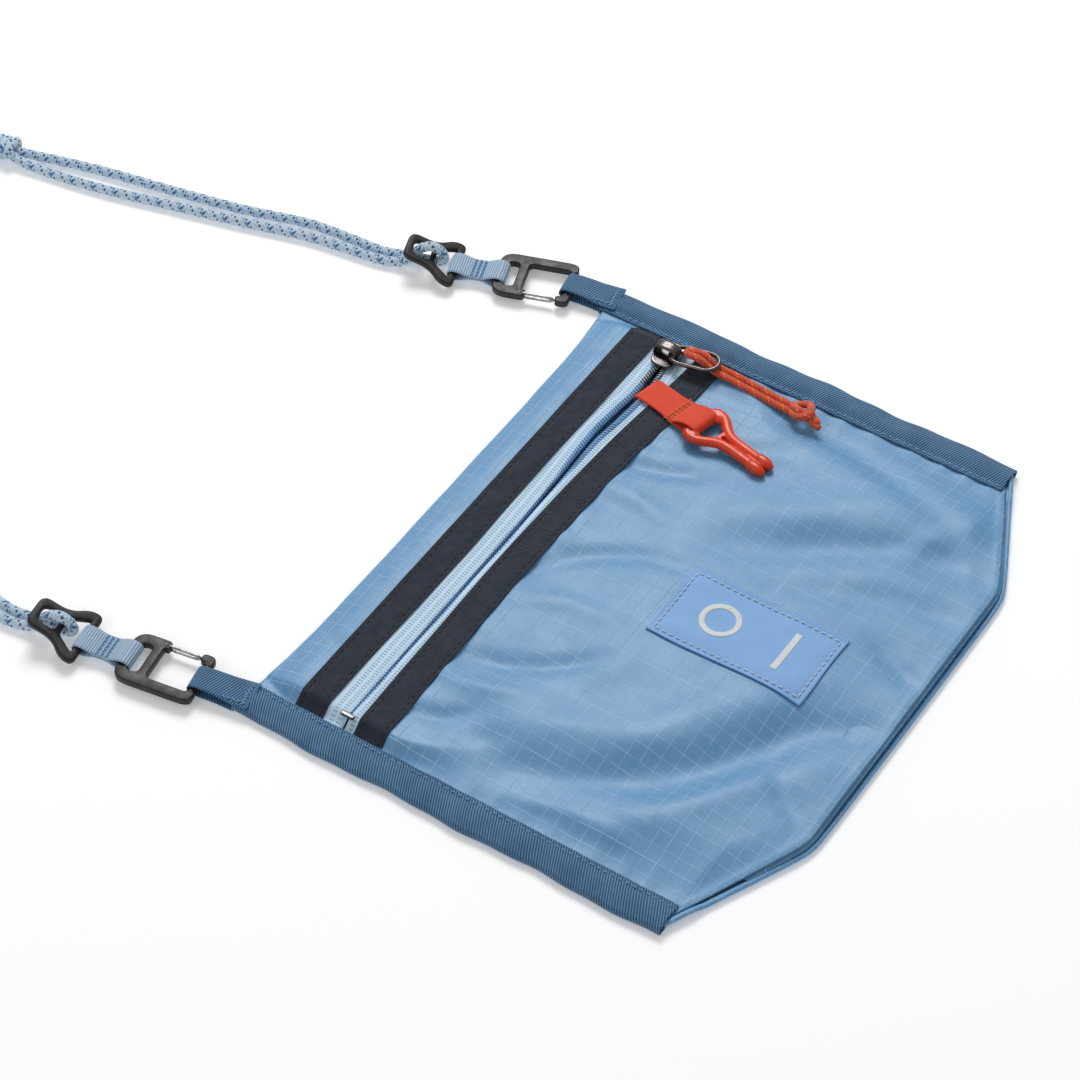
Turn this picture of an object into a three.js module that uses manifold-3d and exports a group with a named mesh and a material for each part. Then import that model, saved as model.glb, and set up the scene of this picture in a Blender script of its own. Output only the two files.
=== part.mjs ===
// Neck pouch wallet: a flat zipped fabric pouch on a round neck cord, lying on its back.
// Millimetres, +Z up, +Y towards the neck cord. The origin is the middle of the back panel's lower face.
import * as THREE from 'three';
import { mergeVertices } from 'three/addons/utils/BufferGeometryUtils.js';
import Module from 'manifold-3d';

const wasm = await Module();
wasm.setup();

// Driving dimensions of the pouch
const GAP = 0.3;
const HALF_WIDTH = 116.5;
const TOP_Y = 94;
const BOTTOM_Y = -93;
const CHAMFER_Y = -69;
const CHAMFER_HALF_WIDTH = 63;
const PANEL_TOP_Y = 92;
const TOP_EDGE_DIP = 3;
const FABRIC = 0.5;
const BINDING_WIDTH = 12.2;
const BINDING_HEIGHT = 3.3;
const BINDING_WALL = 0.6;
const PANEL_HALF_WIDTH = 113;
const SIDE_LEVEL = 1.8;
const RAMP_INNER = 98.5;
const RAMP_OUTER = 104;
const GUSSET_DEPTH = 14;

// Zip: the mouth runs along X at ZIP_Y, between two coils sewn under the tapes
const ZIP_Y = 58.5;
const ZIP_LEVEL = 5;
const TAPE_OUTER = 12;
const STRIP_INNER = 7.5;
const STRIP_OUTER = 18.5;
const STRIP_LIFT = 0.8;
const LOWER_STRIP_SHIFT = [[-113, 3], [-60, 3.9], [-14, 4.4], [44, 2.7], [91, -1.1], [113, -2]];
const COIL_HEIGHT = 1.2;
const FRONT_GAP = 1.9;
const BACK_GAP = 0.9;
const SLIDER_X = 93.7;
const SLIDER_LENGTH = 12.8;
const SLIDER_WIDTH = 11.2;
const POST = 1;

// Key strap and clip
const STRAP_X = 75.1;
const STRAP_WIDTH = 11.5;
const STRAP_BEND_Y = 50;
const STRAP_TURN = -13 * Math.PI / 180;
const CLIP_BAR_Y = 29.7;
const CLIP_LEVEL = 8.8;
const CLIP_THICKNESS = 3;
const BAR_RADIUS = 1.3;

// Strap ends: a fabric loop holds a carabiner, which holds webbing and a cord adjuster
const LOOP_X = 110.5;
const LOOP_REACH = 15;
const LOOP_WIDTH = 9.4;
const STRAP_LEVEL = 3;
const FRAME_THICKNESS = 2.8;
const FRAME_HALF_WIDTH = 10;
const FRAME_LENGTH = 27;
const WEBBING_WIDTH = 10;
const WEBBING = 0.7;
const ADJUSTER_Y = 42.5;
const ADJUSTER_TILT = 20 * Math.PI / 180;
const SIDES = [
  { name: 'left', side: -1, loopTurn: 11, endTurn: 9 },
  { name: 'right', side: 1, loopTurn: 10, endTurn: 19 },
];

// Cords
const CORD_RADIUS = 1.8;
const PULL_CORD_RADIUS = 1.3;
const COIL_CENTRE = [-54, 294];
const COIL_INNER = 12.3;
const COIL_OUTER = 27.1;
const COIL_STACK = 7.5;

const COLOURS = {
  ripstop: 0x6f9cc4, binding: 0x3d6a96, strip: 0x37414f, tape: 0xbfd8ec, coil: 0x6f9cc8,
  metal: 0x55555a, orange: 0xe04a2c, black: 0x3b373a, label: 0x7daae0, webbing: 0x97b5d3, cord: 0x8fbbe0,
};
const MATERIALS = {};
for (const [name, colour] of Object.entries(COLOURS)) {
  const metal = name === 'metal';
  MATERIALS[name] = new THREE.MeshStandardMaterial({
    color: colour, roughness: metal ? 0.3 : 0.8, metalness: metal ? 1 : 0,
  });
}

const group = new THREE.Group();
const radians = degrees => degrees * Math.PI / 180;
const smooth = t => {
  const s = Math.min(1, Math.max(0, t));
  return s * s * (3 - 2 * s);
};

function place(name, material, geometry, parent = group) {
  const mesh = new THREE.Mesh(geometry, MATERIALS[material]);
  mesh.name = name;
  parent.add(mesh);
  return mesh;
}

// A closed sheet between two grids of points; each grid is a function of column and row.
function sheet(columns, rows, outer, inner) {
  const points = [];
  for (const side of [outer, inner]) {
    for (const row of rows) {
      for (const column of columns) points.push(side(column, row));
    }
  }
  const width = columns.length;
  const height = rows.length;
  const at = (side, row, column) => side * width * height + row * width + column;
  const faces = [];
  const quad = (a, b, c, d) => faces.push(a, b, c, a, c, d);
  for (let row = 0; row < height - 1; row++) {
    for (let column = 0; column < width - 1; column++) {
      quad(at(0, row, column), at(0, row, column + 1), at(0, row + 1, column + 1), at(0, row + 1, column));
      quad(at(1, row, column), at(1, row + 1, column), at(1, row + 1, column + 1), at(1, row, column + 1));
    }
    quad(at(0, row, 0), at(0, row + 1, 0), at(1, row + 1, 0), at(1, row, 0));
    const last = width - 1;
    quad(at(0, row, last), at(1, row, last), at(1, row + 1, last), at(0, row + 1, last));
  }
  for (let column = 0; column < width - 1; column++) {
    quad(at(0, 0, column), at(1, 0, column), at(1, 0, column + 1), at(0, 0, column + 1));
    const last = height - 1;
    quad(at(0, last, column), at(0, last, column + 1), at(1, last, column + 1), at(1, last, column));
  }
  return facingOut(points, faces);
}

function facingOut(points, faces) {
  let volume = 0;
  for (let i = 0; i < faces.length; i += 3) {
    const [a, b, c] = [0, 1, 2].map(k => new THREE.Vector3(...points[faces[i + k]]));
    volume += a.dot(b.cross(c));
  }
  const geometry = new THREE.BufferGeometry();
  geometry.setAttribute('position', new THREE.Float32BufferAttribute(points.flat(), 3));
  geometry.setIndex(volume > 0 ? faces : faces.reverse());
  return geometry;
}

function solid(geometry) {
  const bare = geometry.clone();
  bare.deleteAttribute('normal');
  bare.deleteAttribute('uv');
  const merged = mergeVertices(bare, 1e-4);
  const vertProperties = new Float32Array(merged.attributes.position.array);
  const triVerts = new Uint32Array(merged.index.array);
  return new wasm.Manifold(new wasm.Mesh({ numProp: 3, vertProperties, triVerts }));
}

function geometryOf(manifold) {
  const mesh = manifold.getMesh();
  const geometry = new THREE.BufferGeometry();
  geometry.setAttribute('position', new THREE.Float32BufferAttribute(mesh.vertProperties, 3));
  geometry.setIndex(new THREE.BufferAttribute(mesh.triVerts, 1));
  return geometry;
}

const join = (first, ...others) => geometryOf(others.reduce((sum, next) => sum.add(solid(next)), solid(first)));

// A polygon, drawn anticlockwise, whose corners [x, y, radius] are rounded.
function rounded(corners, Kind = THREE.Shape) {
  const path = new Kind();
  const count = corners.length;
  corners.forEach(([x, y, radius = 0], i) => {
    const towards = ([px, py]) => {
      const length = Math.hypot(px - x, py - y);
      const reach = Math.min(radius, length * 0.49);
      return [x + (px - x) * reach / length, y + (py - y) * reach / length];
    };
    const before = towards(corners[(i + count - 1) % count]);
    const after = towards(corners[(i + 1) % count]);
    if (i === 0) path.moveTo(...before);
    else path.lineTo(...before);
    if (radius > 0) path.quadraticCurveTo(x, y, ...after);
  });
  path.closePath();
  return path;
}

function plate(shape, thickness, curveSegments = 3) {
  const geometry = new THREE.ExtrudeGeometry(shape, { depth: thickness, bevelEnabled: false, curveSegments });
  return geometry.translate(0, 0, -thickness / 2);
}

// A strip of the given width along X, whose outline is drawn as [y, z].
function profileAlongX(shape, width, curveSegments = 4) {
  const geometry = plate(shape, width, curveSegments);
  return geometry.applyMatrix4(new THREE.Matrix4().makeBasis(
    new THREE.Vector3(0, 1, 0), new THREE.Vector3(0, 0, 1), new THREE.Vector3(1, 0, 0),
  ));
}

function rod(radius, length, axis = 'x', segments = 12) {
  const geometry = new THREE.CylinderGeometry(radius, radius, length, segments);
  if (axis === 'x') geometry.rotateZ(Math.PI / 2);
  if (axis === 'z') geometry.rotateX(Math.PI / 2);
  return geometry;
}

function tube(points, radius, steps, sides = 8) {
  const route = new THREE.CatmullRomCurve3(points.map(point => new THREE.Vector3(...point)));
  const section = new THREE.Shape();
  for (let i = 0; i < sides; i++) {
    const angle = 2 * Math.PI * i / sides;
    const corner = [radius * Math.cos(angle), radius * Math.sin(angle)];
    if (i === 0) section.moveTo(...corner);
    else section.lineTo(...corner);
  }
  section.closePath();
  return new THREE.ExtrudeGeometry(section, { steps, extrudePath: route, bevelEnabled: false });
}

// A knot's outline: a ball squeezed to the given half sizes.
function knot(halfSizes, centre) {
  const geometry = new THREE.SphereGeometry(1, 12, 8);
  geometry.scale(...halfSizes);
  return geometry.translate(...centre);
}

// Height of the front layers' lower face
function zipLevel(x) {
  return SIDE_LEVEL + (ZIP_LEVEL - SIDE_LEVEL) * smooth((RAMP_OUTER - Math.abs(x)) / (RAMP_OUTER - RAMP_INNER));
}

// How far the lower strip strays towards the mouth, as it is sewn in a slight wave
function lowerShift(x) {
  const next = Math.max(1, LOWER_STRIP_SHIFT.findIndex(([at]) => at >= x));
  const [[x0, shift0], [x1, shift1]] = LOWER_STRIP_SHIFT.slice(next - 1, next + 1);
  return shift0 + (shift1 - shift0) * (x - x0) / (x1 - x0);
}

function halfWidthAt(y) {
  const t = Math.max(0, (CHAMFER_Y - y) / (CHAMFER_Y - BOTTOM_Y));
  return PANEL_HALF_WIDTH + (CHAMFER_HALF_WIDTH - PANEL_HALF_WIDTH) * t;
}

function frontLevel(x, y) {
  const below = Math.max(0, (CHAMFER_Y - y) / (CHAMFER_Y - BOTTOM_Y));
  const sideLevel = SIDE_LEVEL + 2 * below;
  const crown = ZIP_LEVEL + 1.6 * smooth((38 - y) / 40) - 2.2 * smooth((-40 - y) / 53);
  const rampWidth = RAMP_OUTER - RAMP_INNER + 20 * smooth((40 - y) / 40);
  const inset = (PANEL_HALF_WIDTH - RAMP_OUTER) * (1 - below);
  const distance = halfWidthAt(y) - inset - Math.abs(x);
  return sideLevel + (crown - sideLevel) * smooth(distance / rampWidth);
}

const topEdge = x => PANEL_TOP_Y - TOP_EDGE_DIP * (1 - Math.min(1, Math.abs(x) / RAMP_OUTER) ** 6);
const bottomEdge = x => BOTTOM_Y
  + Math.max(0, Math.abs(x) - CHAMFER_HALF_WIDTH) * (CHAMFER_Y - BOTTOM_Y) / (PANEL_HALF_WIDTH - CHAMFER_HALF_WIDTH);
const mirrored = values => [...values.map(v => -v), 0, ...[...values].reverse()];
const PANEL_COLUMNS = mirrored([1, RAMP_OUTER / PANEL_HALF_WIDTH, 0.895, RAMP_INNER / PANEL_HALF_WIDTH, 0.72, 0.5, 0.25]);
const ZIP_COLUMNS = mirrored([RAMP_OUTER - GAP, 102, 100.3, RAMP_INNER, 90, 80, 68, 52, 34, 17]);
const TAPE_COLUMNS = mirrored([PANEL_HALF_WIDTH, RAMP_OUTER, 102, 100.3, RAMP_INNER, 90, 80, 68, 52, 34, 17]);

function addPanels() {
  const backLevel = x => 0.9 * smooth((Math.abs(x) - RAMP_INNER) / (RAMP_OUTER - RAMP_INNER));
  const backRows = [0, 0.35, 0.7, 1, 2];
  const backPoint = lift => (column, row) => {
    const y = row <= 1 ? topEdge(column * PANEL_HALF_WIDTH) * (1 - row) + CHAMFER_Y * row : BOTTOM_Y;
    const x = column * halfWidthAt(y);
    return [x, y, backLevel(x) + lift];
  };
  place('back_panel', 'ripstop', sheet(PANEL_COLUMNS, backRows, backPoint(0), backPoint(FABRIC)));

  const frontTop = ZIP_Y - STRIP_OUTER + 5;
  const frontRows = [frontTop, 36, 24, 8, -12, -34, -52, CHAMFER_Y, -81, BOTTOM_Y];
  const frontPoint = lift => (column, row) => {
    const y = row === frontTop ? row + lowerShift(column * PANEL_HALF_WIDTH) : row;
    const x = column * halfWidthAt(y);
    return [x, y, frontLevel(x, y) + lift];
  };
  place('front_panel', 'ripstop', sheet(PANEL_COLUMNS, frontRows, frontPoint(0), frontPoint(FABRIC)));

  const topPoint = lift => (column, row) => {
    const x = column * PANEL_HALF_WIDTH;
    const y = row * topEdge(x) + (1 - row) * (ZIP_Y + STRIP_OUTER - 5);
    const close = smooth((y - 80) / (PANEL_TOP_Y - 80)) * (ZIP_LEVEL - 2.2);
    return [x, y, Math.max(SIDE_LEVEL, zipLevel(x) - close) + lift];
  };
  place('front_top_panel', 'ripstop', sheet(PANEL_COLUMNS, [0, 0.4, 0.7, 1], topPoint(0), topPoint(FABRIC)));

  const gussetColumns = mirrored([84, 74, CHAMFER_HALF_WIDTH, 32]);
  const gussetPoint = inner => (x, row) => {
    const edge = bottomEdge(x) + 0.8;
    const upper = frontLevel(x, edge) - GAP - (inner ? FABRIC : 0);
    const sideLift = 0.9 * (edge - BOTTOM_Y) / (CHAMFER_Y - BOTTOM_Y);
    const lower = sideLift + FABRIC + GAP + (inner ? FABRIC : 0);
    const depth = GUSSET_DEPTH * (1 - 0.7 * smooth((Math.abs(x) - CHAMFER_HALF_WIDTH) / 33)) - (inner ? 1.2 : 0);
    if (row === 1) return [x, edge + depth, (upper + lower) / 2];
    return [x, edge, row === 0 ? lower : upper];
  };
  place('bottom_gusset', 'ripstop', sheet(gussetColumns, [0, 1, 2], gussetPoint(false), gussetPoint(true)));
}

// A band along the zip between two distances from ZIP_Y, on the upper (+1) or lower (-1) side.
function zipBand(columns, side, near, far, low, high) {
  const point = level => (x, row) => [x, ZIP_Y + side * (row === 0 ? near(x) : far(x)), zipLevel(x) + level];
  return sheet(columns, [0, 1], point(low), point(high));
}

function addZip() {
  const widening = x => 1 - Math.min(1, Math.abs(x) / 95) ** 2;
  const mouths = [
    { name: 'upper', side: 1, gap: x => BACK_GAP + 1.9 * widening(x) },
    { name: 'lower', side: -1, gap: x => FRONT_GAP + 0.6 * widening(x) },
  ];
  for (const { name, side, gap } of mouths) {
    const tapeEdge = x => gap(x) - 0.2;
    const shift = x => (side > 0 ? 0 : lowerShift(x));
    const tapeOuter = x => TAPE_OUTER - shift(x);
    const [inner, outer] = [STRIP_INNER, STRIP_OUTER].map(edge => x => edge - shift(x));
    place(`${name}_zip_tape`, 'tape', zipBand(TAPE_COLUMNS, side, tapeEdge, tapeOuter, 0, FABRIC));
    place(`${name}_zip_strip`, 'strip', zipBand(ZIP_COLUMNS, side, inner, outer, STRIP_LIFT, STRIP_LIFT + FABRIC));
    const coilColumns = ZIP_COLUMNS.filter(x => Math.abs(x) <= 100.3);
    const coilPoint = (sign, level) => (x, row) => [
      x, ZIP_Y + side * (gap(x) + (row === 0 ? 0 : 1.6)), zipLevel(x) - GAP + level * COIL_HEIGHT,
    ];
    place(`${name}_zip_coil`, 'coil', sheet(coilColumns, [0, 1], coilPoint(0, -1), coilPoint(1, 0)));
  }
  const stopX = -100.6;
  const stopLevel = zipLevel(stopX + 0.7) + FABRIC + GAP + 0.6;
  const stop = new THREE.BoxGeometry(1.4, 5, 1.2).translate(stopX, ZIP_Y, stopLevel);
  place('zip_end_stop', 'metal', stop);
}

// The slider's two plates run above and below the tapes, joined by a post in the mouth.
const SLIDER_FLOOR = 1.2;
const SLIDER_DECK = 6.9;
const BRIDGE_WIDTH = 4;
const HINGE_Y = ZIP_Y - 1.5;
const RING_LEVEL = 9.4;
const RING_LENGTH = 18;
const RING_RADIUS = 4.3;
const RING_WIRE = 0.8;
const RING_LIFT = radians(4.6);
const RING_YAW = radians(8);
function addSlider() {
  const [end, half] = [SLIDER_LENGTH / 2, SLIDER_WIDTH / 2];
  const outline = rounded([
    [-end, -0.6 * half, 2], [0, -half, 3.8], [end, -0.85 * half, 1.6], [end, 0.85 * half, 1.6], [0, half, 3.8],
    [-end, 0.6 * half, 2],
  ]);
  const lower = plate(outline, 0.8).translate(0, 0, SLIDER_FLOOR + 0.4);
  const upper = plate(outline, 1).translate(0, 0, SLIDER_DECK + 0.5);
  const post = new THREE.BoxGeometry(3, POST, SLIDER_DECK - SLIDER_FLOOR + 1)
    .translate(-3.4, 0, (SLIDER_DECK + SLIDER_FLOOR + 1) / 2);
  const bridgeShape = rounded([[-4.4, 0], [4.4, 0], [3.9, 4.9, 2], [-3.9, 4.9, 2]]);
  bridgeShape.holes.push(rounded([[-3.4, 0.7], [3.4, 0.7], [3.2, 4, 0.8], [-3.2, 4, 0.8]], THREE.Path));
  const bridge = profileAlongX(bridgeShape, BRIDGE_WIDTH).translate(0, 0, SLIDER_DECK + 0.6);
  const body = join(lower, upper, post, bridge);
  place('slider_body', 'metal', body.translate(SLIDER_X, ZIP_Y, 0));

  const ringRoute = [];
  for (let i = 0; i < 20; i++) {
    const angle = 2 * Math.PI * (i + 0.5) / 20;
    const straight = Math.sign(Math.sin(angle)) * (RING_LENGTH / 2 - RING_RADIUS);
    const along = RING_RADIUS * Math.sin(angle) + straight - RING_LENGTH / 2;
    ringRoute.push(new THREE.Vector3(RING_RADIUS * Math.cos(angle), along, 0));
  }
  const ring = closedTube(ringRoute, RING_WIRE).rotateX(-RING_LIFT).rotateZ(RING_YAW);
  place('pull_ring', 'metal', ring.translate(SLIDER_X, HINGE_Y, RING_LEVEL));
}

// A tube of eight sides round a closed flat loop of points.
function closedTube(route, radius) {
  const curve = new THREE.CatmullRomCurve3(route, true);
  const steps = 28;
  const sides = 8;
  const points = [];
  const faces = [];
  for (let i = 0; i < steps; i++) {
    const centre = curve.getPoint(i / steps);
    const along = curve.getTangent(i / steps);
    const out = new THREE.Vector3(along.y, -along.x, 0).normalize();
    for (let k = 0; k < sides; k++) {
      const angle = 2 * Math.PI * k / sides;
      const point = centre.clone().addScaledVector(out, radius * Math.cos(angle));
      points.push([point.x, point.y, point.z + radius * Math.sin(angle)]);
      const next = (i + 1) % steps;
      const over = (k + 1) % sides;
      faces.push(i * sides + k, next * sides + k, next * sides + over);
      faces.push(i * sides + k, next * sides + over, i * sides + over);
    }
  }
  return facingOut(points, faces);
}

// Doubled pull cord: from the knot, under the ring's far end, up through the ring, and back
const PULL_CORD_ROUTE = [
  [96.2, 9.5, 7.3], [96.8, 16, 7.2], [97.3, 24, 7.4], [97.6, 31, 7.8], [97.6, 35.5, 8.1], [97.5, 39.2, 8.3],
  [97.2, 42.2, 9.6], [96.9, 45.2, 11.8], [96.5, 48.3, 12.1], [95.9, 50.7, 11.8], [94.9, 51.6, 11.5],
  [94, 50.5, 11.8], [93.9, 48.2, 12.1], [94.1, 45.2, 11.8], [94.5, 42.2, 9.6], [94.8, 39.2, 8.3],
  [94.9, 35.5, 8.1], [94.7, 31, 7.9], [94.3, 24, 7.6], [93.9, 16, 7.3], [93.6, 9.5, 7.3],
];
const PULL_CORD_KNOT = [94.9, 3.6, 7.6];

function addPullCord() {
  place('pull_cord', 'orange', tube(PULL_CORD_ROUTE, PULL_CORD_RADIUS, 52));
  place('pull_cord_knot', 'orange', knot([4, 5.4, 2.6], PULL_CORD_KNOT));
}

function addKeyStrap() {
  const loopTop = CLIP_LEVEL + BAR_RADIUS + 0.35 + 0.8;
  const loopBottom = CLIP_LEVEL - BAR_RADIUS - 0.35 - 0.8;
  const outline = rounded([
    [46, 2.4], [57.7, 2.4, 0.6], [57.7, 6.6, 0.6], [53.4, 6.6], [51.8, 7.4], [42, 7.4], [36, loopTop, 2],
    [CLIP_BAR_Y - 2.9, loopTop, 2.2], [CLIP_BAR_Y - 2.9, loopBottom, 2.2], [36, loopBottom, 0.5],
    [40, 6.6], [51.7, 6.6], [53.3, 5.8], [56.9, 5.8], [56.9, 3.2], [46, 3.2],
  ]);
  const holeTop = loopTop - 0.8;
  const holeBottom = loopBottom + 0.8;
  outline.holes.push(rounded([
    [CLIP_BAR_Y - 2, holeTop, 1.2], [CLIP_BAR_Y + 3, holeTop], [CLIP_BAR_Y + 5, CLIP_LEVEL - 0.8],
    [CLIP_BAR_Y + 3, holeBottom], [CLIP_BAR_Y - 2, holeBottom, 1.2],
  ], THREE.Path));
  const geometry = profileAlongX(outline, STRAP_WIDTH).translate(STRAP_X, 0, 0);
  const position = geometry.attributes.position;
  const pivot = new THREE.Vector2(STRAP_X, STRAP_BEND_Y);
  for (let i = 0; i < position.count; i++) {
    const point = new THREE.Vector2(position.getX(i), position.getY(i));
    const low = position.getZ(i) < 5;
    if (point.y > STRAP_BEND_Y + 0.01 || (low && point.y > 45)) continue;
    point.rotateAround(pivot, STRAP_TURN);
    position.setXY(i, point.x, point.y);
  }
  place('key_strap', 'orange', geometry);

  const clip = new THREE.Group();
  const bar = new THREE.Vector2(STRAP_X, CLIP_BAR_Y).rotateAround(pivot, STRAP_TURN);
  clip.position.set(bar.x, bar.y, CLIP_LEVEL);
  clip.rotation.z = STRAP_TURN;
  group.add(clip);
  const head = rounded([
    [9, 1.4, 1.2], [6.6, 1.4], [6.6, -2.2], [2.2, -8.6, 1], [-2.2, -8.6, 1], [-6.6, -2.2], [-6.6, 1.4],
    [-9, 1.4, 1.2], [-9, -3, 1], [-3.9, -12.5, 2], [-3.9, -30.5, 2], [3.9, -30.5, 2], [3.9, -12.5, 2], [9, -3, 1],
  ]);
  head.holes.push(rounded([
    [-1.5, -14, 0.5], [1.5, -14, 0.5], [1.5, -27.4, 0.5], [-1.5, -27.4, 0.5],
  ], THREE.Path));
  place('key_clip_body', 'orange', join(plate(head, CLIP_THICKNESS), rod(BAR_RADIUS, 14.5)), clip);
  const tongue = rounded([[1.2, -14.4], [-1.2, -14.4], [-1.2, -26.9, 0.8], [1.2, -26.9, 0.8]]);
  place('key_clip_tongue', 'orange', plate(tongue, 1.6).translate(0, 0, 0.3), clip);
}

function addLabel() {
  const point = lift => (x, y) => [x, y, frontLevel(x, y) + FABRIC + GAP + lift];
  const columns = [-18, -10, -2, 6, 14];
  const rows = [-2.5, -12, -24, -36, -50, -61];
  place('front_label', 'label', sheet(columns, rows, point(0), point(0.4)));
}

function addBinding({ name, side, loopTurn }) {
  const inner = HALF_WIDTH - BINDING_WIDTH;
  const wall = BINDING_WALL;
  const channel = new THREE.Shape([
    [inner, 0], [HALF_WIDTH, 0], [HALF_WIDTH, BINDING_HEIGHT], [inner, BINDING_HEIGHT],
    [inner, BINDING_HEIGHT - wall], [HALF_WIDTH - wall, BINDING_HEIGHT - wall],
    [HALF_WIDTH - wall, wall], [inner, wall],
  ].map(([x, z]) => new THREE.Vector2(side * x, z)));
  const length = TOP_Y - CHAMFER_Y;
  const run = plate(channel, length).rotateX(Math.PI / 2).translate(0, (TOP_Y + CHAMFER_Y) / 2, 0);

  const end = LOOP_REACH + BAR_RADIUS + 2;
  const half = BAR_RADIUS + 0.45 + WEBBING;
  const outline = rounded([
    [-0.6, 0.1], [3, 0.2], [10, STRAP_LEVEL - half], [end, STRAP_LEVEL - half, 2.2],
    [end, STRAP_LEVEL + half, 2.2], [9, STRAP_LEVEL + half], [2, BINDING_HEIGHT], [-0.6, BINDING_HEIGHT - 0.1],
  ]);
  outline.holes.push(rounded([
    [3.5, 1.6], [10, STRAP_LEVEL - half + WEBBING], [end - WEBBING, STRAP_LEVEL - half + WEBBING, 1.5],
    [end - WEBBING, STRAP_LEVEL + half - WEBBING, 1.5], [9.5, STRAP_LEVEL + half - WEBBING],
  ], THREE.Path));
  const loop = profileAlongX(outline, LOOP_WIDTH).rotateZ(radians(loopTurn)).translate(side * LOOP_X, TOP_Y, 0);
  place(`${name}_binding`, 'binding', join(run, loop));
}

// Cord round the adjuster's cross bar, in a strap end's own frame
const ADJUSTER_ROUTE = [
  [-2.2, 72, -1.1], [-2.2, 66, -1.1], [-1.8, 62, -0.2], [-1, 59, 2.4], [-0.4, 56.4, 5.2], [0, 53.6, 7.2],
  [0.4, 50.6, 7.5], [0.9, 48, 5.2], [1.3, 47, 2], [1.7, 48.6, -0.6], [2.1, 52.5, -1.1], [2.2, 58, -1.1],
  [2.2, 66, -1.1], [2.2, 72, -1.1],
];

// A strap end is drawn in its own frame: origin on the loop's bar, +Y away from the pouch, gate towards -X.
// The left one is flipped, so that both gates face the middle of the pouch.
function addStrapEnd({ name, side, loopTurn, endTurn }) {
  const end = new THREE.Group();
  const turn = radians(loopTurn);
  end.position.set(side * LOOP_X - LOOP_REACH * Math.sin(turn), TOP_Y + LOOP_REACH * Math.cos(turn), STRAP_LEVEL);
  end.rotation.z = radians(endTurn);
  group.add(end);
  const flip = geometry => (side > 0 ? geometry : facingOut(...mirroredX(geometry)));

  place(`${name}_carabiner_frame`, 'black', flip(carabinerFrame()), end);
  const wire = [
    [-8.5, 14.6, 0.9], [-8.5, 11, 0.9], [-8.5, 7, 0.85], [-8.5, 4.7, 0.6],
    [-8.5, 4.0, 0], [-8.5, 4.7, -0.6], [-8.5, 7, -0.85], [-8.5, 11, -0.9], [-8.5, 14.6, -0.9],
  ];
  place(`${name}_gate_wire`, 'metal', flip(tube(wire, 0.45, 24, 6)), end);
  place(`${name}_gate_pin`, 'metal', flip(rod(0.6, 3.2, 'z', 8).translate(-8.5, 16.5, 0)), end);

  const half = FRAME_THICKNESS / 2 + 0.45 + WEBBING;
  const near = FRAME_LENGTH - 3 - 0.35 - WEBBING;
  const far = ADJUSTER_Y + BAR_RADIUS + 0.35 + WEBBING;
  const belt = rounded([[near, -half, 2], [far, -half, 2], [far, half, 2], [near, half, 2]]);
  const [low, high, inner] = [near + WEBBING, far - WEBBING, half - WEBBING];
  belt.holes.push(rounded([[low, -inner, 1.4], [high, -inner, 1.4], [high, inner, 1.4], [low, inner, 1.4]], THREE.Path));
  place(`${name}_webbing_loop`, 'webbing', profileAlongX(belt, WEBBING_WIDTH), end);

  const adjuster = cordAdjuster().rotateX(ADJUSTER_TILT).translate(0, ADJUSTER_Y, 0);
  place(`${name}_cord_adjuster`, 'black', adjuster, end);
  place(`${name}_cord_bight`, 'cord', tube(ADJUSTER_ROUTE, CORD_RADIUS, 40), end);
}

function mirroredX(geometry) {
  const source = geometry.index ? geometry : mergeVertices(geometry);
  const position = source.attributes.position;
  const points = [];
  for (let i = 0; i < position.count; i++) points.push([-position.getX(i), position.getY(i), position.getZ(i)]);
  return [points, Array.from(source.index.array)];
}

function carabinerFrame() {
  const width = FRAME_HALF_WIDTH;
  const inner = 7;
  const body = rounded([
    [6, -1.4], [width, -1.4, 3], [width, FRAME_LENGTH, 4], [-width, FRAME_LENGTH, 4], [-width, 15, 1.45],
    [-inner, 15, 1.45], [-inner, 16.5], [inner, 16.5, 1.5], [inner, 1.4, 1], [6, 1.4],
  ]);
  body.holes.push(rounded([[-6.5, 19.5, 1.5], [6.5, 19.5, 1.5], [6.5, 24, 1.5], [-6.5, 24, 1.5]], THREE.Path));
  const pinHole = new THREE.Path();
  pinHole.absarc(-8.5, 16.5, 0.9, 0, 2 * Math.PI, true);
  body.holes.push(pinHole);
  const nose = rounded([
    [-6, -1.4], [-6, 1.4], [-inner, 1.4], [-inner, 3, 1.45], [-width, 3, 1.45], [-width, -1.4, 3],
  ]);
  return join(plate(body, FRAME_THICKNESS), plate(nose, FRAME_THICKNESS), rod(1.38, 14));
}

// Three-lobed cord hook: webbing bar at the origin, a cross bar at the waist and a narrow tip.
function cordAdjuster() {
  const outline = rounded([
    [-11.5, -1.2, 2.3], [11.5, -1.2, 2.3], [11.5, 3.2, 2.3], [6.4, 9, 3], [6.2, 20.5, 3], [-6.2, 20.5, 3],
    [-6.4, 9, 3], [-11.5, 3.2, 2.3],
  ]);
  outline.holes.push(rounded([[-8, 1.2, 1], [8, 1.2, 1], [3.9, 7.8, 1.5], [-3.9, 7.8, 1.5]], THREE.Path));
  outline.holes.push(rounded([[-3.4, 10, 1.2], [3.4, 10, 1.2], [3.4, 17.8, 1.8], [-3.4, 17.8, 1.8]], THREE.Path));
  return plate(outline, 2.2);
}

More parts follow.
